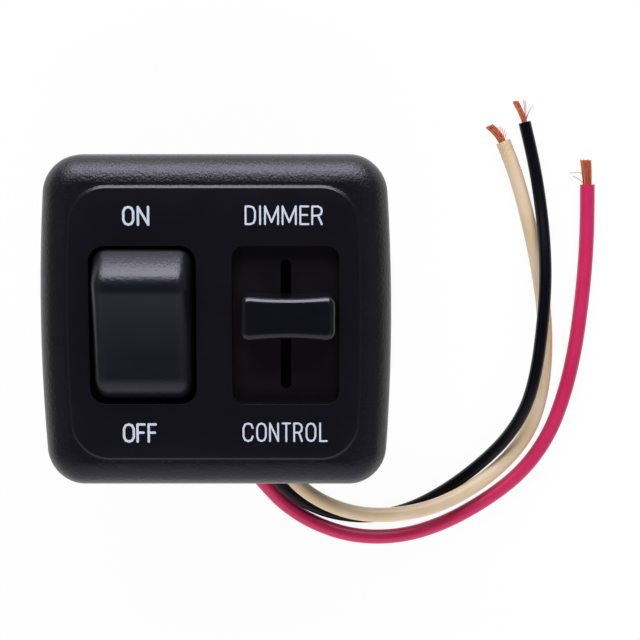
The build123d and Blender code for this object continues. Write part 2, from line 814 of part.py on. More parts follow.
slider_knob.part.label = "slider_knob"
export_step(slider_knob.part, "parts/slider_knob.step")

# Circuit board with holes for its screws and for the potentiometer's pins
with BuildPart() as circuit_board:
    with BuildSketch(Plane.XY.offset(board_back)):
        with Locations((board_x, window_y)):
            Rectangle(board_width, board_length)
        with Locations(*board_screws):
            Circle(board_hole / 2, mode=Mode.SUBTRACT)
        with Locations(*pin_places):
            Circle(pin_width, mode=Mode.SUBTRACT)
    extrude(amount=board_thickness)

circuit_board.part.label = "circuit_board"
export_step(circuit_board.part, "parts/circuit_board.step")

# Board screws: pan heads on the back of the board, shanks in the standoffs
with BuildPart() as board_screw_pair:
    with BuildSketch(Plane.XY.offset(board_back - board_screw_head_height)):
        with Locations(*board_screws):
            Circle(board_screw_head / 2)
    extrude(amount=board_screw_head_height)
    fillet(board_screw_pair.edges().group_by(Axis.Z)[0], board_screw_head_height / 2)
    with BuildSketch(Plane.XY.offset(board_back)):
        with Locations(*board_screws):
            Circle(board_screw_shank / 2)
    extrude(amount=board_screw_bite)

board_screw_pair.part.label = "board_screws"
export_step(board_screw_pair.part, "parts/board_screws.step")

# Power transistor: a moulded body with a drilled tab and three legs turned into the board
transistor_x = board_x + transistor_place[0]
transistor_y = window_y + transistor_place[1]
transistor_low = board_back - transistor_height
tab_y = transistor_y + (transistor_length + transistor_tab_length) / 2
leg_y = transistor_y - transistor_length / 2 - transistor_leg_length
with BuildPart() as power_transistor:
    with BuildSketch(Plane.XY.offset(transistor_low)):
        with Locations((transistor_x, transistor_y)):
            Rectangle(transistor_width, transistor_length)
    extrude(amount=transistor_height)
    with BuildSketch(Plane.XY.offset(transistor_low)):
        with Locations((transistor_x, tab_y)):
            Rectangle(transistor_width, transistor_tab_length)
            Circle(transistor_tab_hole / 2, mode=Mode.SUBTRACT)
    extrude(amount=transistor_tab_thickness)
    leg_z = transistor_low + transistor_height / 2
    with BuildSketch(Plane.YZ.offset(transistor_x)):
        with BuildLine():
            Polyline(
                (transistor_y - transistor_length / 2, leg_z),
                (leg_y, leg_z),
                (leg_y, board_back),
                (leg_y + transistor_leg_thickness, board_back),
                (leg_y + transistor_leg_thickness, leg_z + transistor_leg_thickness),
                (transistor_y - transistor_length / 2, leg_z + transistor_leg_thickness),
                close=True,
            )
        make_face()
    with Locations((-transistor_leg_pitch, 0, 0), (0, 0, 0), (transistor_leg_pitch, 0, 0)):
        extrude(amount=transistor_leg_width / 2, both=True)

power_transistor.part.label = "power_transistor"
export_step(power_transistor.part, "parts/power_transistor.step")

# Timer chip: a small moulded body with two rows of bent legs
chip_x = board_right + chip_place[0]
chip_y = board_near + chip_place[1]
with BuildPart() as timer_chip:
    with BuildSketch(Plane.XY.offset(board_back - chip_height)):
        with Locations((chip_x, chip_y)):
            Rectangle(chip_width, chip_length)
    extrude(amount=chip_height - chip_leg_thickness)
    with BuildSketch(Plane.XY.offset(board_back - chip_leg_thickness)):
        with Locations((chip_x, chip_y)):
            with GridLocations(chip_leg_pitch, 1, 4, 1):
                Rectangle(chip_leg_width, chip_leg_span)
    extrude(amount=chip_leg_thickness)

timer_chip.part.label = "timer_chip"
export_step(timer_chip.part, "parts/timer_chip.step")

# Filter capacitor: a can standing on the board, rolled in near its foot
capacitor_radius = capacitor_diameter / 2
capacitor_foot = Vector(board_x + capacitor_place[0], window_y + capacitor_place[1], board_back)
with BuildPart() as filter_capacitor:
    with BuildSketch(Plane(capacitor_foot, x_dir=(1, 0, 0), z_dir=(0, -1, 0))):
        with BuildLine():
            Polyline(
                (0, 0),
                (capacitor_radius, 0),
                (capacitor_radius, -3 * capacitor_groove),
                (capacitor_radius - capacitor_groove, -4 * capacitor_groove),
                (capacitor_radius, -5 * capacitor_groove),
                (capacitor_radius, capacitor_edge - capacitor_length),
                (capacitor_radius - capacitor_edge, -capacitor_length),
                (0, -capacitor_length),
                close=True,
            )
        make_face()
    revolve(axis=Axis(capacitor_foot, (0, 0, 1)))

filter_capacitor.part.label = "filter_capacitor"
export_step(filter_capacitor.part, "parts/filter_capacitor.step")


# An axial part that lies on the board along X, with its two legs turned into the board
def axial_part(places, diameter, length):
    axis_z = board_back - diameter / 2
    leg_x = length / 2 + leg_reach
    with BuildPart() as axial:
        for place in places:
            place_x = board_x + place[0]
            place_y = window_y + place[1]
            with BuildSketch(Plane.YZ.offset(place_x)):
                with Locations((place_y, axis_z)):
                    Circle(diameter / 2)
            extrude(amount=length / 2, both=True)
            with BuildSketch(Plane.YZ.offset(place_x)):
                with Locations((place_y, axis_z)):
                    Circle(leg_diameter / 2)
            extrude(amount=leg_x, both=True)
            with BuildSketch(Plane.XY.offset(axis_z)):
                with Locations((place_x - leg_x, place_y), (place_x + leg_x, place_y)):
                    Circle(leg_diameter / 2)
            extrude(amount=board_back - axis_z)
    return axial.part


resistors = axial_part(resistor_places, resistor_diameter, resistor_length)
resistors.label = "resistors"
export_step(resistors, "parts/resistors.step")

diode = axial_part((diode_place,), diode_diameter, diode_length)
diode.label = "diode"
export_step(diode, "parts/diode.step")

# Free leads, from the grommet's face along the table to their stripped ends
red_x = lead_x - lead_pitch
white_x = lead_x + lead_pitch
red_end, red_way = lead("red_wire", red_diameter, [
    (red_x, grommet_face, lead_z), (red_x, grommet_face - lead_stub, lead_z), (4.1, -28.7, 4.4),
    (6.9, -32.8, 3.0), (10.1, -36.6, 1.9),
    (15.6, -40.2, 1.4), (22.6, -42.7, 1.3), (30.8, -42.9, 1.3), (38.5, -40.8, 1.3), (46.4, -36.5, 1.3),
    (53.6, -30.6, 1.3), (58.6, -23.7, 1.3), (61.4, -15.8, 1.3), (63.1, -7.7, 1.3), (64.1, 0.8, 1.3),
    (64.7, 9.1, 1.3), (64.8, 16.3, 1.3), (64.7, 21.6, 1.3),
])
black_end, black_way = lead("black_wire", black_diameter, [
    (lead_x, grommet_face, lead_z), (lead_x, grommet_face - lead_stub, lead_z), (7.0, -28.4, 5.5),
    (9.6, -32.4, 4.4), (13.1, -35.8, 2.6),
    (18.9, -38.5, 1.2), (26.1, -39.2, 1.1), (33.2, -37.2, 1.1), (39.8, -33.7, 1.1), (45.9, -29.0, 1.6),
    (50.7, -23.8, 3.2), (53.8, -17.8, 5.4), (55.3, -11.1, 6.7), (56.3, -3.3, 6.7), (56.8, 4.1, 6.4),
    (56.8, 10.6, 4.9), (56.4, 16.9, 2.9), (55.6, 22.9, 1.5), (54.5, 27.8, 1.1), (53.3, 32.5, 1.1),
])
white_end, white_way = lead("white_wire", white_diameter, [
    (white_x, grommet_face, lead_z), (white_x, grommet_face - lead_stub, lead_z), (10.0, -28.1, 6.6),
    (12.7, -31.8, 6.8), (17.4, -35.2, 6.7),
    (23.7, -37.4, 6.5), (30.6, -37.6, 6.2), (37.7, -36.3, 4.9), (44.3, -33.3, 3.0), (50.4, -28.7, 1.6),
    (54.9, -23.0, 1.3), (57.1, -16.5, 1.3), (57.8, -9.0, 1.3), (57.5, -1.7, 1.3), (56.5, 5.3, 1.3),
    (55.0, 12.0, 1.3), (53.3, 18.6, 1.3), (51.3, 25.0, 1.3), (49.5, 29.1, 1.3),
])

# Stripped copper ends, which lean away from their leads
lead("red_strands", red_strand, [red_end, red_end + red_way * red_strand, (64.2, 26.0, 1.4)])
lead("black_strands", black_strand, [black_end, black_end + black_way * black_strand, (51.4, 36.5, 1.3)])
lead("white_strands", white_strand, [white_end, white_end + white_way * white_strand, (46.9, 31.9, 1.5)])

# The leads' inner tails: red to the switch, black and white to the board
common_y = window_y - terminal_thickness / 2
tail_y = grommet_back + tail_reach
lead("red_tail", red_diameter, [
    (red_x, grommet_back, lead_z),
    (red_x, grommet_back + tail_stub, lead_z),
    (red_x - tail_swing, grommet_back + tail_stub + tail_swing, lead_z),
    (switch_x + tail_swing, common_y - tail_stub - tail_swing, lead_z),
    (switch_x, common_y - tail_stub, lead_z),
    (switch_x, common_y, lead_z),
])
for label, diameter, tail_x in (("black_tail", black_diameter, lead_x), ("white_tail", white_diameter, white_x)):
    lead(label, diameter, [
        (tail_x, grommet_back, lead_z),
        (tail_x, tail_y - tail_rise, lead_z),
        (tail_x, tail_y, lead_z + tail_rise),
        (tail_x, tail_y, board_back),
    ])

# The lead from the switch's load terminal to the board
load_y = window_y - load_tail_place - terminal_thickness
link_x = board_left + link_inset
link_y = load_y - link_stub
lead("switch_lead", link_diameter, [
    (switch_x, load_y, lead_z),
    (switch_x, load_y - link_stub, lead_z),
    (switch_x + link_swing, link_y - link_swing, lead_z),
    (link_x - link_rise, link_y - link_swing, lead_z),
    (link_x - link_stub / 2, link_y - link_swing / 3, lead_z + link_stub / 2),
    (link_x, link_y, lead_z + link_rise),
    (link_x, link_y, board_back),
])
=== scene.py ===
import bmesh
import bpy
import math
from mathutils import Matrix, Vector


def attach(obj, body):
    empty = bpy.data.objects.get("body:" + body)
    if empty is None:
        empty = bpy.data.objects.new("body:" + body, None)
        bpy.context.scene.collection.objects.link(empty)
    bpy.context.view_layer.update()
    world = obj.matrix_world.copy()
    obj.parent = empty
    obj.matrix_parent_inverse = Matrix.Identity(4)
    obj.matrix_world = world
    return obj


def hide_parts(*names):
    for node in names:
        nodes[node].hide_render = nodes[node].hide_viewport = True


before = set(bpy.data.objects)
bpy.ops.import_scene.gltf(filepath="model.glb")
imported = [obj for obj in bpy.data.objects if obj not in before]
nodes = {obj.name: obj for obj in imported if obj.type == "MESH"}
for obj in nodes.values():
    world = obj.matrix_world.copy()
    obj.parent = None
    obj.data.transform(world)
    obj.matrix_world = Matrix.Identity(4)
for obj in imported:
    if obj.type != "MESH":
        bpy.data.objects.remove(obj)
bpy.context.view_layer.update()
mm = 0.001
print("frame loaded,", len(nodes), "nodes")


# small helpers

def linear(hexCode):
    channels = [int(hexCode[i:i + 2], 16) / 255 for i in (0, 2, 4)]
    return [c / 12.92 if c <= 0.04045 else ((c + 0.055) / 1.055) ** 2.4 for c in channels] + [1.0]


def addNode(tree, kind, inputs=None, **settings):
    node = tree.nodes.new(kind)
    for name, value in settings.items():
        setattr(node, name, value)
    for socket, value in (inputs or {}).items():
        if isinstance(value, bpy.types.NodeSocket):
            tree.links.new(value, node.inputs[socket])
        else:
            node.inputs[socket].default_value = value
    return node


def newMaterial(name):
    material = bpy.data.materials.new(name)
    material.use_nodes = True
    tree = material.node_tree
    tree.nodes.clear()
    place = addNode(tree, "ShaderNodeTexCoord").outputs["Object"]
    shader = addNode(tree, "ShaderNodeBsdfPrincipled")
    addNode(tree, "ShaderNodeOutputMaterial", {"Surface": shader.outputs[0]})
    return material, tree, place, shader


def meshFrom(bm, name, smoothAngle):
    mesh = bpy.data.meshes.new(name)
    bm.to_mesh(mesh)
    bm.free()
    mesh.shade_smooth()
    mesh.set_sharp_from_angle(angle=math.radians(smoothAngle))
    return mesh


def addPiece(name, mesh, body, material, replaced=()):
    piece = bpy.data.objects.new(name, mesh)
    bpy.context.scene.collection.objects.link(piece)
    mesh.materials.clear()
    mesh.materials.append(material)
    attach(piece, body)
    if replaced:
        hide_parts(*replaced)
    return piece


# closed loops of points joined into a skin, all loops with the same count
def skinLoops(bm, loops):
    rings = [[bm.verts.new(Vector(point) * mm) for point in loop] for loop in loops]
    for low, high in zip(rings, rings[1:]):
        for i in range(len(low)):
            j = (i + 1) % len(low)
            bm.faces.new((low[i], low[j], high[j], high[i]))
    return rings


# rounded rectangle, counter-clockwise, with the same count whatever its size
def roundedLoop(halfX, halfY, corner, z, centre=(0, 0), perCorner=12, perSide=10):
    points = []
    quarters = ((1, 1), (-1, 1), (-1, -1), (1, -1))
    for quarter, (signX, signY) in enumerate(quarters):
        midX, midY = signX * (halfX - corner), signY * (halfY - corner)
        for k in range(perCorner + 1):
            angle = math.radians(90 * quarter + 90 * k / perCorner)
            points.append(Vector((midX + corner * math.cos(angle), midY + corner * math.sin(angle))))
        nextX, nextY = quarters[(quarter + 1) % 4]
        end = points[-1]
        angle = math.radians(90 * quarter + 90)
        start = Vector((nextX * (halfX - corner), nextY * (halfY - corner)))
        start += corner * Vector((math.cos(angle), math.sin(angle)))
        points += [end.lerp(start, k / perSide) for k in range(1, perSide)]
    return [(x + centre[0], y + centre[1], z) for x, y in points]


# faces with more than four sides are cut up, and all of them point outwards
def settleFaces(bm):
    bmesh.ops.triangulate(bm, faces=[face for face in bm.faces if len(face.verts) > 4])
    bmesh.ops.recalc_face_normals(bm, faces=bm.faces)


# shared by the finishes: how fine the noise is, where its clouds start and end, and the grain's depth as
# a share of its width
noiseSize = {"cloudDetail": 4.0, "grainDetail": 3.0, "cloudSpan": (0.3, 0.7), "grainDepth": 0.2}


# ABS, black, moulded on a spark-eroded tool: it glitters on the rolled edges and is smoother on the flats.
# Such a grain is about 0.2 mm, near one pixel, so its pebbles are drawn about twice as coarse to show.
def pebbledAbs(name, look):
    material, tree, place, shader = newMaterial(name)
    pebble = addNode(tree, "ShaderNodeTexVoronoi", {
        "Vector": place, "Scale": 1 / (look["pebble"] * mm), "Randomness": 1.0}, feature="SMOOTH_F1")
    grit = addNode(tree, "ShaderNodeTexNoise", {
        "Vector": place, "Scale": 1 / (look["grit"] * mm), "Detail": noiseSize["grainDetail"]})
    cloud = addNode(tree, "ShaderNodeTexNoise", {
        "Vector": place, "Scale": 1 / (look["cloud"] * mm), "Detail": noiseSize["cloudDetail"]})
    relief = addNode(tree, "ShaderNodeMath", {
        0: pebble.outputs["Distance"], 1: grit.outputs["Fac"]}, operation="ADD")
    spot = addNode(tree, "ShaderNodeSeparateXYZ", {0: place})
    along = addNode(tree, "ShaderNodeMath", {0: spot.outputs[look["axis"]]}, operation="ABSOLUTE")
    pebbled = addNode(tree, "ShaderNodeMapRange", {
        "Value": along.outputs[0], "From Min": look["smooth"] * mm, "From Max": look["pebbled"] * mm})
    strength = addNode(tree, "ShaderNodeMapRange", {
        "Value": pebbled.outputs[0], "To Min": look["bump"][0], "To Max": look["bump"][1]})
    bump = addNode(tree, "ShaderNodeBump", {
        "Strength": strength.outputs[0], "Distance": look["depth"] * mm, "Height": relief.outputs[0]})
    colour = addNode(tree, "ShaderNodeMixRGB", {
        0: cloud.outputs["Fac"], 1: linear(look["dark"]), 2: linear(look["pale"])})
    sheen = addNode(tree, "ShaderNodeMapRange", {
        "Value": pebbled.outputs[0], "To Min": look["rough"][0], "To Max": look["rough"][1]})
    rough = addNode(tree, "ShaderNodeMath", {
        0: cloud.outputs["Fac"], 1: look["patchy"], 2: sheen.outputs[0]}, operation="MULTIPLY_ADD")
    tree.links.new(colour.outputs[0], shader.inputs["Base Color"])
    tree.links.new(rough.outputs[0], shader.inputs["Roughness"])
    tree.links.new(bump.outputs[0], shader.inputs["Normal"])
    shader.inputs["IOR"].default_value = look["ior"]
    return material


# everything else: a base colour with faint clouding, its own gloss and a fine grain, coarse enough to show
def plainFinish(name, look):
    material, tree, place, shader = newMaterial(name)
    cloud = addNode(tree, "ShaderNodeTexNoise", {
        "Vector": place, "Scale": 1 / (look["cloud"] * mm), "Detail": noiseSize["cloudDetail"]})
    grain = addNode(tree, "ShaderNodeTexNoise", {
        "Vector": place, "Scale": 1 / (look["grain"] * mm), "Detail": noiseSize["grainDetail"]})
    colour = addNode(tree, "ShaderNodeMixRGB", {
        0: cloud.outputs["Fac"], 1: linear(look["dark"]), 2: linear(look["pale"])})
    start, stop = noiseSize["cloudSpan"]
    rough = addNode(tree, "ShaderNodeMapRange", {
        "Value": cloud.outputs["Fac"], "From Min": start, "From Max": stop,
        "To Min": look["rough"][0], "To Max": look["rough"][1]})
    bump = addNode(tree, "ShaderNodeBump", {
        "Strength": look["bump"], "Distance": look["grain"] * mm * noiseSize["grainDepth"],
        "Height": grain.outputs["Fac"]})
    tree.links.new(colour.outputs[0], shader.inputs["Base Color"])
    tree.links.new(rough.outputs[0], shader.inputs["Roughness"])
    tree.links.new(bump.outputs[0], shader.inputs["Normal"])
    shader.inputs["Metallic"].default_value = look.get("metal", 0.0)
    if "ior" in look:
        shader.inputs["IOR"].default_value = look["ior"]
    return material


# bezel: pebbled below the panel's edge, smoother on the flat panel
bezelAbs = pebbledAbs("blackAbsPebbled", {
    "pebble": 0.42, "grit": 0.16, "cloud": 6.0, "axis": "Z", "smooth": 30.36, "pebbled": 30.26,
    "bump": (0.06, 0.58), "depth": 0.1, "dark": "0A0A0E", "pale": "0F0F14", "rough": (0.28, 0.27),
    "patchy": 0.06, "ior": 1.47})
# rocker: smoother on the face, pebbled on its noses
rockerAbs = pebbledAbs("blackAbsRocker", {
    "pebble": 0.4, "grit": 0.15, "cloud": 5.0, "axis": "Y", "smooth": 5.4, "pebbled": 6.8,
    "bump": (0.05, 0.34), "depth": 0.08, "dark": "0E0E13", "pale": "131319", "rough": (0.26, 0.27),
    "patchy": 0.06, "ior": 1.5})
# ABS off a polished tool: sharp bright highlights on the rims
knobGloss = plainFinish("blackPolishedAbs", {
    "cloud": 3.0, "grain": 1.2, "dark": "0B0B0F", "pale": "101015", "rough": (0.15, 0.2), "bump": 0.03,
    "ior": 1.52})
# ABS off a blasted tool: a dull warm black, painted darker than the other blacks as painted shade in the
# recess behind the window
recessAbsPaintedShade = plainFinish("blackRecessAbsPaintedShade", {
    "cloud": 4.0, "grain": 0.3, "dark": "080507", "pale": "0D0809", "rough": (0.45, 0.55), "bump": 0.1,
    "ior": 1.36})
# pad-printed ink: a flat, slightly cool white
printInk = plainFinish("whitePadPrintInk", {
    "cloud": 1.0, "grain": 0.15, "dark": "C0C9CB", "pale": "CAD2D4", "rough": (0.5, 0.6), "bump": 0.15})
# vinyl insulation, drawn over the strands: satin, faintly mottled where the colour was mixed in
vinyl = {
    "red": plainFinish("redVinyl", {
        "cloud": 5.0, "grain": 0.5, "dark": "BC1C4C", "pale": "CA2A58", "rough": (0.36, 0.46), "bump": 0.12}),
    "black": plainFinish("blackVinyl", {
        "cloud": 5.0, "grain": 0.5, "dark": "060709", "pale": "0A0B0F", "rough": (0.2, 0.28), "bump": 0.1,
        "ior": 1.32}),
    "white": plainFinish("creamVinyl", {
        "cloud": 6.0, "grain": 0.5, "dark": "C6AA6C", "pale": "E0CEAC", "rough": (0.36, 0.46), "bump": 0.12}),
}
# drawn copper wire, cut and a little dulled: warm glints along each strand
bareCopper = plainFinish("bareCopperStrand", {
    "cloud": 0.8, "grain": 0.2, "dark": "D8683A", "pale": "FFA87C", "rough": (0.32, 0.46), "bump": 0.1,
    "metal": 0.7})
print("plastics and copper made")

# bezel: a shell skinned from bowed loops, its panel and ceiling filled flat round the windows;
# the groove's shape is given as shares of its width in from the panel's foot, and of its depth
bezelSize = {
    "halfX": 28.6, "halfY": 27.0, "corner": 6.0, "sideRadius": 310.0, "draft": 2.0, "backZ": 22.0,
    "edge": 0.15, "shoulderZ": 30.18, "rimRadius": 4.8, "rimSteps": 14, "panelZ": 30.5, "panelInset": 4.95,
    "panelCorner": 6.0, "bevel": 0.42, "bevelRound": 0.05, "bevelEase": 0.1, "groove": (0.26, 0.045),
    "grooveShape": ((1.0, 0.3), (0.7, 1.0), (0.2, 1.0)), "wall": 2.0, "cavityZ": 28.5, "cavityRadius": 3.5,
    "cavityCorner": 0.4, "cavitySteps": 8, "windowX": 11.4, "windowY": -0.2, "windowHalf": (8.55, 12.7),
    "windowPoints": {"perCorner": 10, "perSide": 6}, "rockerCorner": 2.6, "sliderCorner": 2.0,
    "windowEdge": 0.03, "edgeSteps": 4, "lip": 0.8, "relief": 0.8, "smoothAngle": 25}


def bowedLoop(inset, corner, z):
    bezel = bezelSize
    halfX, halfY = bezel["halfX"] - inset, bezel["halfY"] - inset
    bowed = []
    for x, y, level in roundedLoop(halfX, halfY, corner, z):
        bow = bezel["sideRadius"] - math.sqrt(bezel["sideRadius"] ** 2 - y * y)
        bowed.append((x * (1 - bow / halfX), y, level))
    return bowed


# from the back edge up the side, over the rim, through the groove and up on to the panel
def bezelOutside():
    bezel = bezelSize
    lean = math.tan(math.radians(bezel["draft"]))
    top = bezel["shoulderZ"] - bezel["rimRadius"]
    outer = [bowedLoop(bezel["edge"], bezel["corner"] - bezel["edge"], bezel["backZ"]),
             bowedLoop(0, bezel["corner"], bezel["backZ"] + bezel["edge"])]
    arcIn = (top - bezel["backZ"]) * lean + bezel["rimRadius"]
    for k in range(bezel["rimSteps"]):
        angle = math.radians(-bezel["draft"] + (90 + bezel["draft"]) * k / bezel["rimSteps"])
        inset = arcIn - bezel["rimRadius"] * math.cos(angle)
        outer.append(bowedLoop(inset, bezel["corner"] - inset, top + bezel["rimRadius"] * math.sin(angle)))
    foot, crest = bezel["panelInset"], bezel["panelInset"] + bezel["bevel"]
    ease, soft = bezel["bevelEase"], bezel["bevelRound"]
    rise = bezel["panelZ"] - bezel["shoulderZ"]
    wide, deep = bezel["groove"]
    steps = [(foot - wide - soft, 0)]
    steps += [(foot - across * wide, -down * deep) for across, down in bezel["grooveShape"]]
    steps += [(foot, 0), (crest - soft, rise - ease * rise)]
    steps += [(crest, rise - ease * soft), (crest + soft, rise)]
    for inset, lift in steps:
        outer.append(bowedLoop(inset, bezel["panelCorner"] - (inset - foot), bezel["shoulderZ"] + lift))
    return outer


def bezelInside():
    bezel = bezelSize
    inner = [bowedLoop(bezel["wall"], bezel["corner"] - bezel["wall"], bezel["backZ"])]
    for k in range(bezel["cavitySteps"] + 1):
        angle = math.radians(90 * k / bezel["cavitySteps"])
        inset = bezel["wall"] + bezel["cavityRadius"] * (1 - math.cos(angle))
        lift = bezel["cavityZ"] - bezel["cavityRadius"] * (1 - math.sin(angle))
        inner.append(bowedLoop(inset, max(bezel["cavityCorner"], bezel["corner"] - inset), lift))
    return inner


# one window from the panel down to the ceiling; the rocker's has a lip with room behind it for the swing
def windowLoops(side):
    bezel = bezelSize
    corner = bezel["rockerCorner"] if side < 0 else bezel["sliderCorner"]
    centre = (side * bezel["windowX"], bezel["windowY"])
    halfX, halfY = bezel["windowHalf"]
    counts = bezel["windowPoints"]
    loops = []
    for k in range(bezel["edgeSteps"] + 1):
        angle = math.radians(90 * k / bezel["edgeSteps"])
        out = bezel["windowEdge"] * (1 - math.sin(angle))
        lift = bezel["panelZ"] - bezel["windowEdge"] * (1 - math.cos(angle))
        loops.append(roundedLoop(halfX + out, halfY + out, corner + out, lift, centre, **counts))
    if side < 0:
        lipZ = bezel["panelZ"] - bezel["lip"]
        loops.append([(x, y, lipZ) for x, y, z in loops[-1]])
        loops.append(roundedLoop(halfX, halfY + bezel["relief"], corner, lipZ, centre, **counts))
    loops.append([(x, y, bezel["cavityZ"]) for x, y, z in loops[-1]])
    return loops


def makeBezel():
    bm = bmesh.new()
    outerRings = skinLoops(bm, bezelOutside())
    innerRings = skinLoops(bm, [loop[::-1] for loop in bezelInside()])
    tops, ceilings = [outerRings[-1]], [innerRings[-1]]
    foot = outerRings[0]
    inside = innerRings[0][::-1]
    for i in range(len(foot)):
        j = (i + 1) % len(foot)
        bm.faces.new((foot[j], foot[i], inside[i], inside[j]))
    for side in (-1, 1):
        rings = skinLoops(bm, windowLoops(side))
        tops.append(rings[0])
        ceilings.append(rings[-1])
    for rings in (tops, ceilings):
        edges = []
        for ring in rings:
            edges += [bm.edges.get((ring[i], ring[(i + 1) % len(ring)])) for i in range(len(ring))]
        bmesh.ops.triangle_fill(bm, use_beauty=True, edges=edges)
    bmesh.ops.recalc_face_normals(bm, faces=bm.faces)
    return meshFrom(bm, "bezelShell", bezelSize["smoothAngle"])


addPiece("bezelShell", makeBezel(), "housing", bezelAbs, ["bezel"])
print("bezel skinned")

# rocker: its side profile, with rolled noses, a dished top and ends round about the pins, across a rounded
# width; the OFF half is a little shorter than the ON half
rockerSize = {
    "pivot": (-11.4, 0.1, 23.5), "tilt": 10.0, "swing": 13.8, "half": 12.8, "skirt": 1.0, "heelRoom": 0.1,
    "crest": 39.0, "dish": 63.0, "nose": 4.0, "width": 15.9, "cheekDraft": 1.5, "edge": 2.1, "offShare": 0.97,
    "footSteps": 5, "endSteps": 10, "noseSteps": 20, "dishSteps": 12, "edgeSteps": 6, "acrossSteps": 6,
    "smoothAngle": 30}


# half of the outline as points with their outward normals, from the foot over the nose to the middle of the
# dish, and then its mirror
def rockerProfile():
    rocker = rockerSize
    swing, half, skirt = rocker["swing"], rocker["half"], rocker["skirt"]
    heel = math.sqrt(swing ** 2 - half ** 2)
    crestY = swing * math.sin(math.radians(rocker["crest"]))
    crestZ = swing * math.cos(math.radians(rocker["crest"]))
    dishCentre = Vector((0, crestZ + math.sqrt(rocker["dish"] ** 2 - crestY ** 2)))
    reach, inner = rocker["dish"] + rocker["nose"], swing - rocker["nose"]
    noseZ = (inner ** 2 + dishCentre.y ** 2 - reach ** 2) / (2 * dishCentre.y)
    noseCentre = Vector((math.sqrt(inner ** 2 - noseZ ** 2), noseZ))
    toDish = (dishCentre - noseCentre).normalized()
    endLean = math.atan2(noseCentre.x, noseCentre.y)
    heelLean = math.asin(half / swing)
    dishLean = math.atan2(toDish.x, toDish.y)
    outline = []
    for k in range(rocker["footSteps"] + 1):
        rise = (heel - rocker["heelRoom"] + skirt) * k / rocker["footSteps"]
        outline.append((Vector((half, -skirt + rise)), Vector((1, 0))))
    for k in range(rocker["endSteps"] + 1):
        lean = heelLean + (endLean - heelLean) * k / rocker["endSteps"]
        normal = Vector((math.sin(lean), math.cos(lean)))
        outline.append((normal * swing, normal))
    for k in range(1, rocker["noseSteps"] + 1):
        lean = endLean + (dishLean - endLean) * k / rocker["noseSteps"]
        normal = Vector((math.sin(lean), math.cos(lean)))
        outline.append((noseCentre + normal * rocker["nose"], normal))
    for k in range(1, rocker["dishSteps"] + 1):
        lean = dishLean * (1 - k / rocker["dishSteps"])
        normal = Vector((math.sin(lean), math.cos(lean)))
        outline.append((dishCentre - normal * rocker["dish"], normal))
    share = rocker["offShare"]
    return outline + [(Vector((-p.x * share, p.y)), Vector((-n.x, n.y))) for p, n in outline[-2::-1]]


def makeRocker():
    rocker = rockerSize
    tilted = Matrix.Rotation(math.radians(rocker["tilt"]), 4, "X")
    turn = Matrix.Translation(Vector(rocker["pivot"]) * mm) @ tilted
    lean = math.tan(math.radians(rocker["cheekDraft"]))
    last, across = rocker["edgeSteps"], rocker["acrossSteps"]
    bm = bmesh.new()
    rows = []
    for point, normal in rockerProfile():
        row = []
        for side in (-1, 1):
            steps = range(last + 1) if side < 0 else range(last, -1, -1)
            for k in steps:
                angle = math.radians(90 * k / last)
                spot = point - normal * rocker["edge"] * (1 - math.sin(angle))
                halfWide = rocker["width"] / 2 - max(0.0, spot.y) * lean
                x = side * (halfWide - rocker["edge"] * (1 - math.cos(angle)))
                row.append((x, spot.x, spot.y))
        left, right = Vector(row[last]), Vector(row[last + 1])
        row[last + 1:last + 1] = [tuple(left.lerp(right, k / across)) for k in range(1, across)]
        rows.append([bm.verts.new(turn @ (Vector(spot) * mm)) for spot in row])
    for low, high in zip(rows, rows[1:]):
        for i in range(len(low) - 1):
            bm.faces.new((low[i], low[i + 1], high[i + 1], high[i]))
    bm.faces.new([row[0] for row in rows])
    bm.faces.new([row[-1] for row in reversed(rows)])
    bm.faces.new(rows[0][::-1] + rows[-1])
    settleFaces(bm)
    return meshFrom(bm, "rockerPaddle", rocker["smoothAngle"])


addPiece("rockerPaddle", makeRocker(), "rocker", rockerAbs, ["rocker"])
print("rocker made")

# knob: waisted loops that draw in with the draft, roll over the rim and close on a dished top
knobSize = {
    "x": 11.8, "y": 1.3, "z": 28.9, "halfX": 7.7, "halfY": 4.0, "waist": 0.55, "corner": 1.9,
    "leastCorner": 0.25, "height": 6.0, "draft": 2.0, "edge": 1.4, "dip": 0.5, "foot": 0.12, "topMiddle": 0.3,
    "sideSteps": 4, "rimSteps": 14, "topSteps": 4, "points": {"perCorner": 8, "perSide": 14},
    "smoothAngle": 40}


def knobLoop(inset, lift):
    knob = knobSize
    halfX, halfY = knob["halfX"], knob["halfY"]
    corner = max(knob["leastCorner"], knob["corner"] - inset)
    shaped = []
    for x, y, z in roundedLoop(halfX - inset, halfY - inset, corner, 0, **knob["points"]):
        waist = knob["waist"] * (1 - (x / halfX) ** 2)
        dip = knob["dip"] * (1 - (x / halfX) ** 2) * min(1.0, lift / (knob["height"] - knob["edge"]))
        shaped.append((knob["x"] + x, knob["y"] + y * (1 - waist / halfY), knob["z"] + lift - dip))
    return shaped


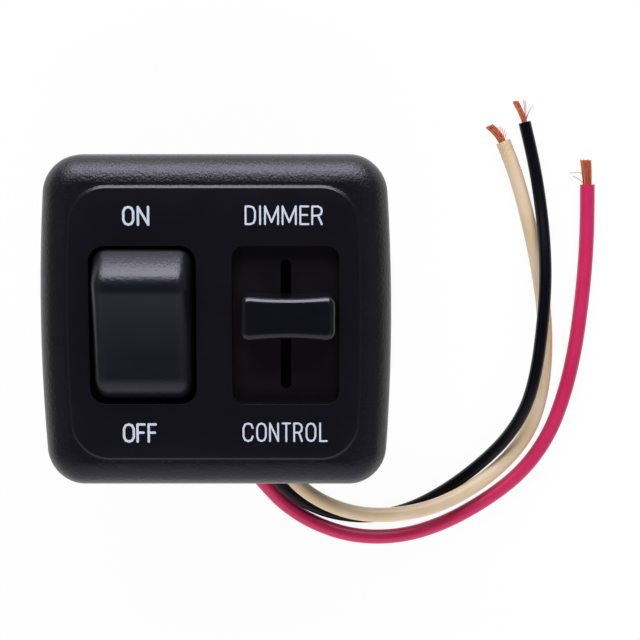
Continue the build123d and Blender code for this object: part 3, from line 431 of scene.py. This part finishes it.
def makeKnob():
    knob = knobSize
    lean = math.tan(math.radians(knob["draft"]))
    side = knob["height"] - knob["edge"]
    loops = [knobLoop(knob["foot"], 0)]
    for step in range(knob["sideSteps"] + 1):
        share = step / knob["sideSteps"]
        loops.append(knobLoop(lean * share * side, knob["foot"] + share * (side - knob["foot"])))
    atRim = lean * side
    for step in range(1, knob["rimSteps"] + 1):
        angle = math.radians(90 * step / knob["rimSteps"])
        inset = atRim + knob["edge"] * (1 - math.cos(angle))
        loops.append(knobLoop(inset, side + knob["edge"] * math.sin(angle)))
    flat = atRim + knob["edge"]
    for step in range(1, knob["topSteps"] + 1):
        inset = flat + (knob["halfY"] - flat - knob["topMiddle"]) * step / knob["topSteps"]
        loops.append(knobLoop(inset, knob["height"]))
    bm = bmesh.new()
    rings = skinLoops(bm, loops)
    bm.faces.new(rings[0][::-1])
    bm.faces.new(rings[-1])
    settleFaces(bm)
    return meshFrom(bm, "sliderKnob", knob["smoothAngle"])


addPiece("sliderKnob", makeKnob(), "slider", knobGloss, ["slider_knob"])
print("knob made")

# print: pen strokes of a narrow sans, each letter in a box 1 wide and 1 high
strokes = {
    "O": [[(0.5, 1), (0.18, 0.94), (0, 0.74), (0, 0.26), (0.18, 0.06), (0.5, 0), (0.82, 0.06), (1, 0.26),
           (1, 0.74), (0.82, 0.94), (0.5, 1)]],
    "N": [[(0, 0), (0, 1), (1, 0), (1, 1)]],
    "F": [[(0, 0), (0, 1), (1, 1)], [(0, 0.52), (0.85, 0.52)]],
    "D": [[(0, 0), (0, 1), (0.5, 1), (0.85, 0.92), (1, 0.7), (1, 0.3), (0.85, 0.08), (0.5, 0), (0, 0)]],
    "I": [[(0.5, 0), (0.5, 1)]],
    "M": [[(0, 0), (0, 1), (0.5, 0.12), (1, 1), (1, 0)]],
    "E": [[(1, 0), (0, 0), (0, 1), (1, 1)], [(0, 0.52), (0.85, 0.52)]],
    "R": [[(0, 0), (0, 1), (0.6, 1), (0.92, 0.9), (1, 0.75), (0.92, 0.57), (0.6, 0.48), (0, 0.48)],
          [(0.6, 0.48), (1, 0)]],
    "C": [[(1, 0.74), (0.85, 0.94), (0.5, 1), (0.18, 0.94), (0, 0.74), (0, 0.26), (0.18, 0.06), (0.5, 0),
           (0.85, 0.06), (1, 0.26)]],
    "T": [[(0.5, 0), (0.5, 1)], [(0, 1), (1, 1)]],
    "L": [[(0, 1), (0, 0), (1, 0)]],
}
# each word's foot and top, its pen and the span of each letter
words = {
    "printOn": {
        "text": "ON", "y": (15.67, 18.84), "pen": 0.39,
        "spans": ((-14.47, -12.53), (-12.17, -10.17))},
    "printOff": {
        "text": "OFF", "y": (-19.15, -15.97), "pen": 0.39,
        "spans": ((-14.87, -12.91), (-12.7, -11.17), (-10.91, -9.38))},
    "printDimmer": {
        "text": "DIMMER", "y": (15.8, 18.89), "pen": 0.3,
        "spans": ((4.89, 6.68), (7.15, 7.51), (7.96, 10.32), (10.73, 13.13), (13.54, 15.10),
                  (15.42, 17.24))},
    "printControl": {
        "text": "CONTROL", "y": (-19.02, -15.85), "pen": 0.3,
        "spans": ((4.36, 6.14), (6.55, 8.25), (8.62, 10.22), (10.64, 12.13), (12.50, 14.05), (14.48, 16.21),
                  (16.67, 18.03))},
}
inkSize = {
    "panelZ": 30.5, "thickness": 0.02, "stagger": 0.0004, "capSteps": 8, "shift": 0.08, "smoothAngle": 40}


# one pen run with round ends, a thin tablet of ink; each lies a hair higher than the last, so none coincide
def inkRun(bm, start, end, half, z):
    along = (end - start).normalized()
    turn = math.atan2(along.y, along.x)
    rim = []
    for centre, first in ((end, -90), (start, 90)):
        for k in range(inkSize["capSteps"] + 1):
            angle = turn + math.radians(first + 180 * k / inkSize["capSteps"])
            rim.append(centre + half * Vector((math.cos(angle), math.sin(angle))))
    low = [bm.verts.new(Vector((x, y, inkSize["panelZ"] - inkSize["thickness"])) * mm) for x, y in rim]
    high = [bm.verts.new(Vector((x, y, z)) * mm) for x, y in rim]
    for i in range(len(rim)):
        j = (i + 1) % len(rim)
        bm.faces.new((low[i], low[j], high[j], high[i]))
    bm.faces.new(high)
    bm.faces.new(low[::-1])


def makeWord(name, word):
    bm = bmesh.new()
    half = word["pen"] / 2
    low, high = word["y"][0] + half, word["y"][1] - half
    inkTop = inkSize["panelZ"] + inkSize["thickness"]
    runs = 0
    for letter, (left, right) in zip(word["text"], word["spans"]):
        left, right = left + half + inkSize["shift"], right - half + inkSize["shift"]
        for stroke in strokes[letter]:
            points = [Vector((left + (right - left) * u, low + (high - low) * v)) for u, v in stroke]
            for start, end in zip(points, points[1:]):
                inkRun(bm, start, end, half, inkTop + inkSize["stagger"] * runs)
                runs += 1
    return meshFrom(bm, name, inkSize["smoothAngle"])


for name, word in words.items():
    addPiece(name, makeWord(name, word), "housing", printInk)
print("lettering printed")

# free leads: the route's points are the control points of one smooth spline each, in mm, and the length
# is in metres; the seed sets how the strands fall, and the loose hairs are drawn one by one
leads = {
    "red": {
        "diameter": 2.6, "length": 0.122,
        "route": (
            (2.5, -19.7, 6.0), (2.5, -23.8, 6.0), (4.5, -28.7, 4.4), (7.4, -32.6, 3.0),
            (10.5, -36.2, 1.9), (15.6, -39.7, 1.4), (22.6, -42.2, 1.3), (30.7, -42.4, 1.3),
            (38.4, -40.3, 1.3), (46.2, -36.1, 1.3), (53.4, -30.6, 1.3), (58.3, -23.7, 1.3),
            (61.1, -15.8, 1.3), (62.8, -7.7, 1.3), (63.8, 0.8, 1.3), (64.4, 9.2, 1.3),
            (64.5, 16.4, 1.3), (64.4, 21.7, 1.3)),
        "strands": {"tip": (64.0, 26.1, 1.4), "count": 26, "radius": 0.72, "spread": 0.05, "seed": 3},
        "loose": (
            ((63.9, 21.8, 1.6), (62.9, 22.6, 1.8), (61.7, 23.3, 1.5)),
            ((63.7, 21.8, 1.4), (63.5, 23.8, 1.6), (62.6, 23.9, 1.6), (61.1, 23.8, 1.2)),
            ((63.6, 21.8, 1.5), (63.3, 24.2, 1.9), (63.0, 26.3, 1.8)))},
    "black": {
        "diameter": 2.2, "length": 0.121,
        "route": (
            (5.5, -19.7, 6.0), (5.5, -23.8, 6.0), (7.5, -28.4, 5.5), (10.0, -32.2, 4.4),
            (13.5, -35.4, 2.6), (18.9, -38.1, 1.2), (26.3, -38.9, 1.1), (33.5, -37.1, 1.1),
            (39.9, -33.6, 1.1), (45.7, -29.0, 1.6), (50.5, -23.8, 3.2), (53.6, -17.8, 5.4),
            (55.1, -11.1, 6.7), (56.0, -3.3, 6.7), (56.5, 4.1, 6.4), (56.5, 10.7, 4.9),
            (56.1, 17.0, 2.9), (55.3, 23.1, 1.5), (54.3, 28.0, 1.1), (53.1, 32.7, 1.1)),
        "strands": {"tip": (51.3, 36.4, 1.3), "count": 14, "radius": 0.38, "spread": 0.02, "seed": 5},
        "loose": (
            ((53.1, 32.8, 1.4), (53.1, 34.9, 1.7), (52.8, 36.6, 1.4)),
            ((53.2, 32.8, 1.3), (53.4, 34.6, 1.6), (53.1, 36.5, 1.2)),
            ((53.2, 32.8, 1.1), (53.6, 34.6, 1.4), (54.6, 35.6, 1.1)),
            ((53.3, 32.8, 1.0), (53.6, 33.9, 1.2), (53.9, 34.7, 0.9)))},
    "white": {
        "diameter": 2.6, "length": 0.116,
        "route": (
            (8.5, -19.7, 6.0), (8.5, -23.8, 6.0), (10.4, -28.1, 6.6), (13.1, -31.7, 6.8),
            (17.8, -34.9, 6.7), (23.7, -36.9, 6.5), (30.5, -37.1, 6.2), (37.6, -35.9, 4.9),
            (44.1, -33.1, 3.0), (50.2, -28.7, 1.6), (54.7, -23.0, 1.3), (56.8, -16.5, 1.3),
            (57.5, -9.0, 1.3), (57.2, -1.7, 1.3), (56.2, 5.3, 1.3), (54.8, 12.1, 1.3),
            (53.1, 18.7, 1.3), (51.1, 25.2, 1.3), (49.3, 29.3, 1.3)),
        "strands": {"tip": (46.8, 32.1, 1.5), "count": 22, "radius": 0.58, "spread": 0.02, "seed": 8},
        "loose": (
            ((49.1, 29.4, 1.5), (48.4, 30.6, 1.9), (48.3, 31.9, 1.6)),
            ((49.2, 29.4, 1.6), (48.6, 30.5, 2.0), (48.7, 32.0, 1.7)),
            ((49.3, 29.4, 1.8), (48.9, 30.6, 2.1), (49.1, 31.8, 1.7)),
            ((49.4, 29.4, 1.3), (49.3, 30.5, 1.6), (49.6, 31.5, 1.2)),
            ((49.5, 29.4, 1.2), (49.6, 30.2, 1.5), (50.0, 30.9, 1.1)))},
}
leadSize = {"order": 3, "perSpan": 8, "roundness": 6}
strandSize = {
    "diameter": 0.26, "hair": 0.13, "shortest": 0.94, "longest": 1.01, "sides": 7, "perSpan": 6,
    "inside": 1.0, "straight": 1.4, "smoothAngle": 50}


# a curve with one smooth spline for each run of control points, in metres
def smoothCurve(name, runs, perSpan):
    curve = bpy.data.curves.new(name, "CURVE")
    curve.dimensions = "3D"
    curve.resolution_u = perSpan
    for run in runs:
        spline = curve.splines.new("NURBS")
        spline.points.add(len(run) - 1)
        for point, spot in zip(spline.points, run):
            point.co = (*spot, 1)
        spline.order_u = leadSize["order"]
        spline.use_endpoint_u = True
    return curve


# the stripped end, up its own Z: strands set out on a disc, leaning outwards, each a thin round wire
def strandTree():
    tree = bpy.data.node_groups.new("strandBundle", "GeometryNodeTree")
    tree.interface.new_socket("Geometry", in_out="INPUT", socket_type="NodeSocketGeometry")
    for label, kind in (("Count", "Int"), ("Seed", "Int"), ("Radius", "Float"), ("Spread", "Float"),
                        ("Thickness", "Float"), ("Metal", "Material")):
        tree.interface.new_socket(label, in_out="INPUT", socket_type="NodeSocket" + kind)
    tree.interface.new_socket("Geometry", in_out="OUTPUT", socket_type="NodeSocketGeometry")
    given = addNode(tree, "NodeGroupInput").outputs
    spans = ((0.0, 1.0), (0.0, math.tau), (strandSize["shortest"], strandSize["longest"]))
    chances = []
    for step, (low, high) in enumerate(spans):
        seed = addNode(tree, "ShaderNodeMath", {0: given["Seed"], 1: float(step)}, operation="ADD")
        chance = addNode(tree, "FunctionNodeRandomValue", {2: low, 3: high, "Seed": seed.outputs[0]})
        chances.append(chance.outputs[1])
    root = addNode(tree, "ShaderNodeMath", {0: chances[0]}, operation="SQRT")
    away = addNode(tree, "ShaderNodeMath", {0: root.outputs[0], 1: given["Radius"]}, operation="MULTIPLY")
    cosine = addNode(tree, "ShaderNodeMath", {0: chances[1]}, operation="COSINE")
    sine = addNode(tree, "ShaderNodeMath", {0: chances[1]}, operation="SINE")
    facing = addNode(tree, "ShaderNodeCombineXYZ", {0: cosine.outputs[0], 1: sine.outputs[0]})
    spot = addNode(tree, "ShaderNodeVectorMath", {
        0: facing.outputs[0], "Scale": away.outputs[0]}, operation="SCALE")
    points = addNode(tree, "GeometryNodePoints", {"Count": given["Count"], "Position": spot.outputs[0]})
    lean = addNode(tree, "ShaderNodeMath", {0: root.outputs[0], 1: given["Spread"]}, operation="MULTIPLY")
    across = addNode(tree, "ShaderNodeVectorMath", {
        0: (0, 0, 1), 1: facing.outputs[0]}, operation="CROSS_PRODUCT")
    turn = addNode(tree, "ShaderNodeVectorMath", {
        0: across.outputs[0], "Scale": lean.outputs[0]}, operation="SCALE")
    placed = addNode(tree, "GeometryNodeInstanceOnPoints", {
        "Points": points.outputs[0], "Instance": given["Geometry"], "Rotation": turn.outputs[0],
        "Scale": chances[2]})
    joined = addNode(tree, "GeometryNodeRealizeInstances", {0: placed.outputs[0]})
    halfThick = addNode(tree, "ShaderNodeMath", {0: given["Thickness"], 1: 0.5}, operation="MULTIPLY")
    section = addNode(tree, "GeometryNodeCurvePrimitiveCircle", {
        "Resolution": strandSize["sides"], "Radius": halfThick.outputs[0]})
    wires = addNode(tree, "GeometryNodeCurveToMesh", {
        "Curve": joined.outputs[0], "Profile Curve": section.outputs[0], "Fill Caps": True})
    solid = addNode(tree, "GeometryNodeRealizeInstances", {0: wires.outputs[0]})
    coated = addNode(tree, "GeometryNodeSetMaterial", {
        "Geometry": solid.outputs[0], "Material": given["Metal"]})
    addNode(tree, "NodeGroupOutput", {0: coated.outputs[0]})
    return tree


# one bundle, or the loose strands as a bundle of one each, drawn from spines in the lead end's own frame
def drawStrands(name, spines, settings):
    drawn = bpy.data.objects.new(name, smoothCurve(name, spines, strandSize["perSpan"]))
    bpy.context.scene.collection.objects.link(drawn)
    modifier = drawn.modifiers.new("strandBundle", "NODES")
    modifier.node_group = strandBundle
    for socket in strandBundle.interface.items_tree:
        if socket.in_out == "INPUT" and socket.name in settings:
            modifier[socket.identifier] = settings[socket.name]
    mesh = bpy.data.meshes.new_from_object(drawn.evaluated_get(bpy.context.evaluated_depsgraph_get()))
    drawn.modifiers.clear()
    bpy.data.objects.remove(drawn)
    return mesh


def makeStrands(colour, lead):
    strands = lead["strands"]
    end = Vector(lead["route"][-1]) * mm
    ahead = (Vector(lead["route"][-1]) - Vector(lead["route"][-2])).normalized()
    left = Vector((0, 0, 1)).cross(ahead).normalized()
    frameOfEnd = Matrix.Translation(end) @ Matrix((left, ahead.cross(left), ahead)).transposed().to_4x4()
    toEnd = frameOfEnd.inverted()
    start = end - ahead * strandSize["inside"] * mm
    straight = end + ahead * strandSize["straight"] * mm
    spine = [toEnd @ spot for spot in (start, straight, Vector(strands["tip"]) * mm)]
    settings = {
        "Count": strands["count"], "Seed": strands["seed"], "Radius": strands["radius"] * mm,
        "Spread": strands["spread"], "Thickness": strandSize["diameter"] * mm, "Metal": bareCopper}
    bundle = drawStrands(colour + "Bundle", [spine], settings)
    single = dict(settings, Count=1, Radius=0.0, Spread=0.0, Thickness=strandSize["hair"] * mm)
    hairs = [[toEnd @ (Vector(spot) * mm) for spot in run] for run in lead["loose"]]
    loose = drawStrands(colour + "Loose", hairs, single)
    bm = bmesh.new()
    bm.from_mesh(bundle)
    bm.from_mesh(loose)
    mesh = meshFrom(bm, colour + "CopperEnd", strandSize["smoothAngle"])
    mesh.transform(frameOfEnd)
    return mesh


strandBundle = strandTree()
for colour, lead in leads.items():
    route = [Vector(spot) * mm for spot in lead["route"]]
    curve = smoothCurve(colour + "Lead", [route], leadSize["perSpan"])
    curve.bevel_depth = lead["diameter"] / 2 * mm
    curve.bevel_resolution = leadSize["roundness"]
    curve.use_fill_caps = True
    piece = addPiece(colour + "Lead", curve, "housing", vinyl[colour],
                     [colour + "_wire"])
    strands = addPiece(colour + "CopperEnd", makeStrands(colour, lead), "housing", bareCopper,
                       [colour + "_strands"])
print("leads laid")

# the rest of the CAD nodes, by what they are made of
nodeLooks = {
    # ABS off a plain tool: dull black with a soft sheen
    "blackHousingAbs": {
        "nodes": ("rear_housing", "mounting_frame"), "cloud": 8.0, "grain": 0.4, "dark": "0E0E10",
        "pale": "151518", "rough": (0.45, 0.55), "bump": 0.25, "ior": 1.46},
    # filled nylon, moulded: a flat black that hardly shines
    "blackCaseNylon": {
        "nodes": ("switch_case",), "cloud": 5.0, "grain": 0.4, "dark": "080809", "pale": "0C0C0E",
        "rough": (0.5, 0.6), "bump": 0.15, "ior": 1.4},
    # rubber, moulded: soft, dusty and matte
    "blackRubber": {
        "nodes": ("wire_grommet",), "cloud": 3.0, "grain": 0.4, "dark": "0C0C0D", "pale": "141415",
        "rough": (0.6, 0.75), "bump": 0.3},
    # natural nylon, moulded: milky white with a low gloss
    "whiteNylon": {
        "nodes": ("rocker_plunger",), "cloud": 2.0, "grain": 0.3, "dark": "D8D2C2", "pale": "E6E2D6",
        "rough": (0.4, 0.5), "bump": 0.1},
    # phosphor bronze sheet, its colour painted dark as painted shade down the slot: a brown glint
    "bronzePaintedShade": {
        "nodes": ("slider_wiper",), "cloud": 2.0, "grain": 0.3, "dark": "3A2C20", "pale": "4A3A2C",
        "rough": (0.35, 0.5), "bump": 0.1, "metal": 1.0},
    # steel, drawn or plated: bright grey with soft streaks of light
    "springSteel": {
        "nodes": ("rocker_spring", "board_screws", "pot_shell", "pot_pins"), "cloud": 2.0, "grain": 0.3,
        "dark": "9A9CA0", "pale": "B4B6BA", "rough": (0.25, 0.4), "bump": 0.1, "metal": 1.0},
    # copper sheet, rolled: warm and fairly bright
    "rolledCopper": {
        "nodes": ("contact_arm",), "cloud": 2.0, "grain": 0.3, "dark": "B4683C", "pale": "CC8456",
        "rough": (0.25, 0.4), "bump": 0.1, "metal": 1.0},
    # brass sheet, rolled: yellow and fairly bright
    "rolledBrass": {
        "nodes": ("common_terminal", "load_terminal"), "cloud": 2.0, "grain": 0.3, "dark": "B4903C",
        "pale": "CCAA5A", "rough": (0.25, 0.4), "bump": 0.1, "metal": 1.0},
    # silver alloy, headed and polished: the brightest metal inside
    "contactSilver": {
        "nodes": ("moving_contact", "fixed_contact"), "cloud": 1.0, "grain": 0.2, "dark": "C8C8C4",
        "pale": "DCDCD8", "rough": (0.2, 0.35), "bump": 0.1, "metal": 1.0},
    # acetal, moulded: black with a waxy gloss
    "blackAcetal": {
        "nodes": ("slider_carriage",), "cloud": 3.0, "grain": 0.3, "dark": "0D0D0F", "pale": "131316",
        "rough": (0.35, 0.45), "bump": 0.1},
    # paper laminate, pressed: brown, painted very dark as painted shade down the slot
    "brownLaminatePaintedShade": {
        "nodes": ("pot_track",), "cloud": 2.0, "grain": 0.3, "dark": "24180E", "pale": "302014",
        "rough": (0.4, 0.55), "bump": 0.15},
    # glass laminate under lacquer: green with a clear gloss
    "greenLaminate": {
        "nodes": ("circuit_board",), "cloud": 2.0, "grain": 0.3, "dark": "1C5A34", "pale": "2A7446",
        "rough": (0.3, 0.45), "bump": 0.15},
    # epoxy, moulded: charcoal and matte
    "mouldedEpoxy": {
        "nodes": ("power_transistor", "timer_chip", "diode"), "cloud": 2.0, "grain": 0.2, "dark": "121214",
        "pale": "1A1A1C", "rough": (0.5, 0.6), "bump": 0.2},
    # vinyl sleeve, shrunk on: dark blue and glossy
    "blueSleeve": {
        "nodes": ("filter_capacitor",), "cloud": 2.0, "grain": 0.4, "dark": "141E46", "pale": "1E2A58",
        "rough": (0.25, 0.35), "bump": 0.1},
    # lacquer, dipped: tan and glossy
    "tanLacquer": {
        "nodes": ("resistors",), "cloud": 1.5, "grain": 0.3, "dark": "BFA070", "pale": "D2B88A",
        "rough": (0.3, 0.4), "bump": 0.1},
}
# the slot plate takes the recess black, darkened as painted shade
nodeMaterials = {
    "slot_plate": recessAbsPaintedShade, "red_tail": vinyl["red"], "switch_lead": vinyl["red"],
    "black_tail": vinyl["black"], "white_tail": vinyl["white"]}
for name, look in nodeLooks.items():
    material = plainFinish(name, look)
    nodeMaterials.update({node: material for node in look["nodes"]})
for node, material in nodeMaterials.items():
    nodes[node].data.materials.clear()
    nodes[node].data.materials.append(material)
print("CAD nodes finished")

# studio: white paper painted darker away from the part, a painted pool of light round it, a wide softbox
# beyond the ON end and a fill in front; the surround is pale in front, dim at the sides and towards the
# horizon, and dark overhead
studio = {
    "floorZ": -0.05, "floorSize": 4000.0, "floorGlow": 0.95, "floorRough": 0.9, "paper": "F4F4F4",
    "paintedLightPool": (100.0, 420.0), "paintedPoolEdge": 0.62, "key": (0.0, 347.0, 190.0), "keyAim": (10.0, 0.0, 30.0),
    "keySize": (400.0, 280.0), "keyPower": 2.75, "keyTint": "EEECFF", "fill": (10.0, -270.0, 230.0),
    "fillSize": (420.0, 300.0), "fillPower": 1.15, "ceiling": 0.03, "sides": 0.2, "front": 0.82,
    "horizon": 0.2, "frontEdge": (-0.28, -0.8), "ceilingEdge": (0.74, 0.96), "horizonEdge": (0.1, 0.45),
    "camera": (16.88, 25.9, 259.0), "target": (16.88, 0.7, 30.5), "lens": 81.2, "sensor": 36.0,
    "nearest": 10.0}

floorMesh = bpy.data.meshes.new("studioFloor")
half = studio["floorSize"] * mm
cornerSigns = ((-1, -1), (1, -1), (1, 1), (-1, 1))
floorCorners = [(x * half, y * half, studio["floorZ"] * mm) for x, y in cornerSigns]
floorMesh.from_pydata(floorCorners, [], [(0, 1, 2, 3)])
floor = bpy.data.objects.new("studioFloor", floorMesh)
bpy.context.scene.collection.objects.link(floor)

# matte paper, rolled: white to the eye and in the gloss, and it still takes the shadow;
# its colour and glow are painted to dim away from the part, a painted pool of light
floorPaperPaintedPool, tree, place, shader = newMaterial("whitePaperWithPaintedPool")
shader.inputs["Roughness"].default_value = studio["floorRough"]
away = addNode(tree, "ShaderNodeVectorMath", {0: place}, operation="LENGTH")
# painted pool of light: the paper's colour and glow fall from full near the part to a share further out
paintedLightPool = addNode(tree, "ShaderNodeMapRange", {
    "Value": away.outputs["Value"], "From Min": studio["paintedLightPool"][0] * mm, "From Max": studio["paintedLightPool"][1] * mm,
    "To Min": 1.0, "To Max": studio["paintedPoolEdge"]}, interpolation_type="SMOOTHSTEP")
paper = addNode(tree, "ShaderNodeMixRGB", {0: paintedLightPool.outputs[0], 1: (0, 0, 0, 1), 2: linear(studio["paper"])})
tree.links.new(paper.outputs[0], shader.inputs["Base Color"])
path = addNode(tree, "ShaderNodeLightPath")
seen = path.outputs["Is Camera Ray"]
for ray in ("Is Glossy Ray", "Is Transmission Ray"):
    seen = addNode(tree, "ShaderNodeMath", {0: seen, 1: path.outputs[ray]}, operation="MAXIMUM").outputs[0]
share = addNode(tree, "ShaderNodeMath", {0: seen, 1: studio["floorGlow"]}, operation="MULTIPLY")
glow = addNode(tree, "ShaderNodeEmission", {"Color": (1, 1, 1, 1), "Strength": paintedLightPool.outputs[0]})
mixed = addNode(tree, "ShaderNodeMixShader", {
    0: share.outputs[0], 1: shader.outputs[0], 2: glow.outputs[0]})
output = next(node for node in tree.nodes if node.type == "OUTPUT_MATERIAL")
tree.links.new(mixed.outputs[0], output.inputs["Surface"])
floorMesh.materials.append(floorPaperPaintedPool)

world = bpy.data.worlds.new("studioWorld")
bpy.context.scene.world = world
world.use_nodes = True
tree = world.node_tree
tree.nodes.clear()
direction = addNode(tree, "ShaderNodeTexCoord")
spot = addNode(tree, "ShaderNodeSeparateXYZ", {0: direction.outputs["Generated"]})
sideLight = addNode(tree, "ShaderNodeMapRange", {
    "Value": spot.outputs["Z"], "From Min": studio["horizonEdge"][0], "From Max": studio["horizonEdge"][1],
    "To Min": studio["sides"] * studio["horizon"], "To Max": studio["sides"]},
    interpolation_type="SMOOTHSTEP")
roundLight = addNode(tree, "ShaderNodeMapRange", {
    "Value": spot.outputs["Y"], "From Min": studio["frontEdge"][0], "From Max": studio["frontEdge"][1],
    "To Min": sideLight.outputs[0], "To Max": studio["front"]}, interpolation_type="SMOOTHSTEP")
skyLight = addNode(tree, "ShaderNodeMapRange", {
    "Value": spot.outputs["Z"], "From Min": studio["ceilingEdge"][0], "From Max": studio["ceilingEdge"][1],
    "To Min": roundLight.outputs[0], "To Max": studio["ceiling"]})
glow = addNode(tree, "ShaderNodeBackground", {
    "Color": linear(studio["keyTint"]), "Strength": skyLight.outputs[0]})
addNode(tree, "ShaderNodeOutputWorld", {"Surface": glow.outputs[0]})


# the fill from the front lifts the shaded side and is kept out of the gloss, so that there is one highlight
def addSoftbox(name, spot, size, power, inGloss):
    lamp = bpy.data.lights.new(name, "AREA")
    lamp.shape = "RECTANGLE"
    lamp.size, lamp.size_y = size[0] * mm, size[1] * mm
    lamp.energy = power
    lamp.color = linear(studio["keyTint"])[:3]
    softbox = bpy.data.objects.new(name, lamp)
    softbox.location = Vector(spot) * mm
    aim = (Vector(studio["keyAim"]) - Vector(spot)).normalized()
    softbox.rotation_euler = aim.to_track_quat("-Z", "Y").to_euler()
    softbox.visible_glossy = inGloss
    bpy.context.scene.collection.objects.link(softbox)


addSoftbox("keySoftbox", studio["key"], studio["keySize"], studio["keyPower"], True)
addSoftbox("fillSoftbox", studio["fill"], studio["fillSize"], studio["fillPower"], False)

lens = bpy.data.cameras.new("photoCamera")
lens.lens = studio["lens"]
lens.sensor_width = studio["sensor"]
lens.clip_start = studio["nearest"] * mm
camera = bpy.data.objects.new("photoCamera", lens)
camera.location = Vector(studio["camera"]) * mm
sight = (Vector(studio["target"]) - Vector(studio["camera"])).normalized()
across = sight.cross(Vector((0, 1, 0))).normalized()
camera.rotation_euler = Matrix((across, across.cross(sight), -sight)).transposed().to_euler()
bpy.context.scene.collection.objects.link(camera)
bpy.context.scene.camera = camera
bpy.context.scene.view_settings.view_transform = "Standard"
print("studio lit")

bpy.context.view_layer.update()
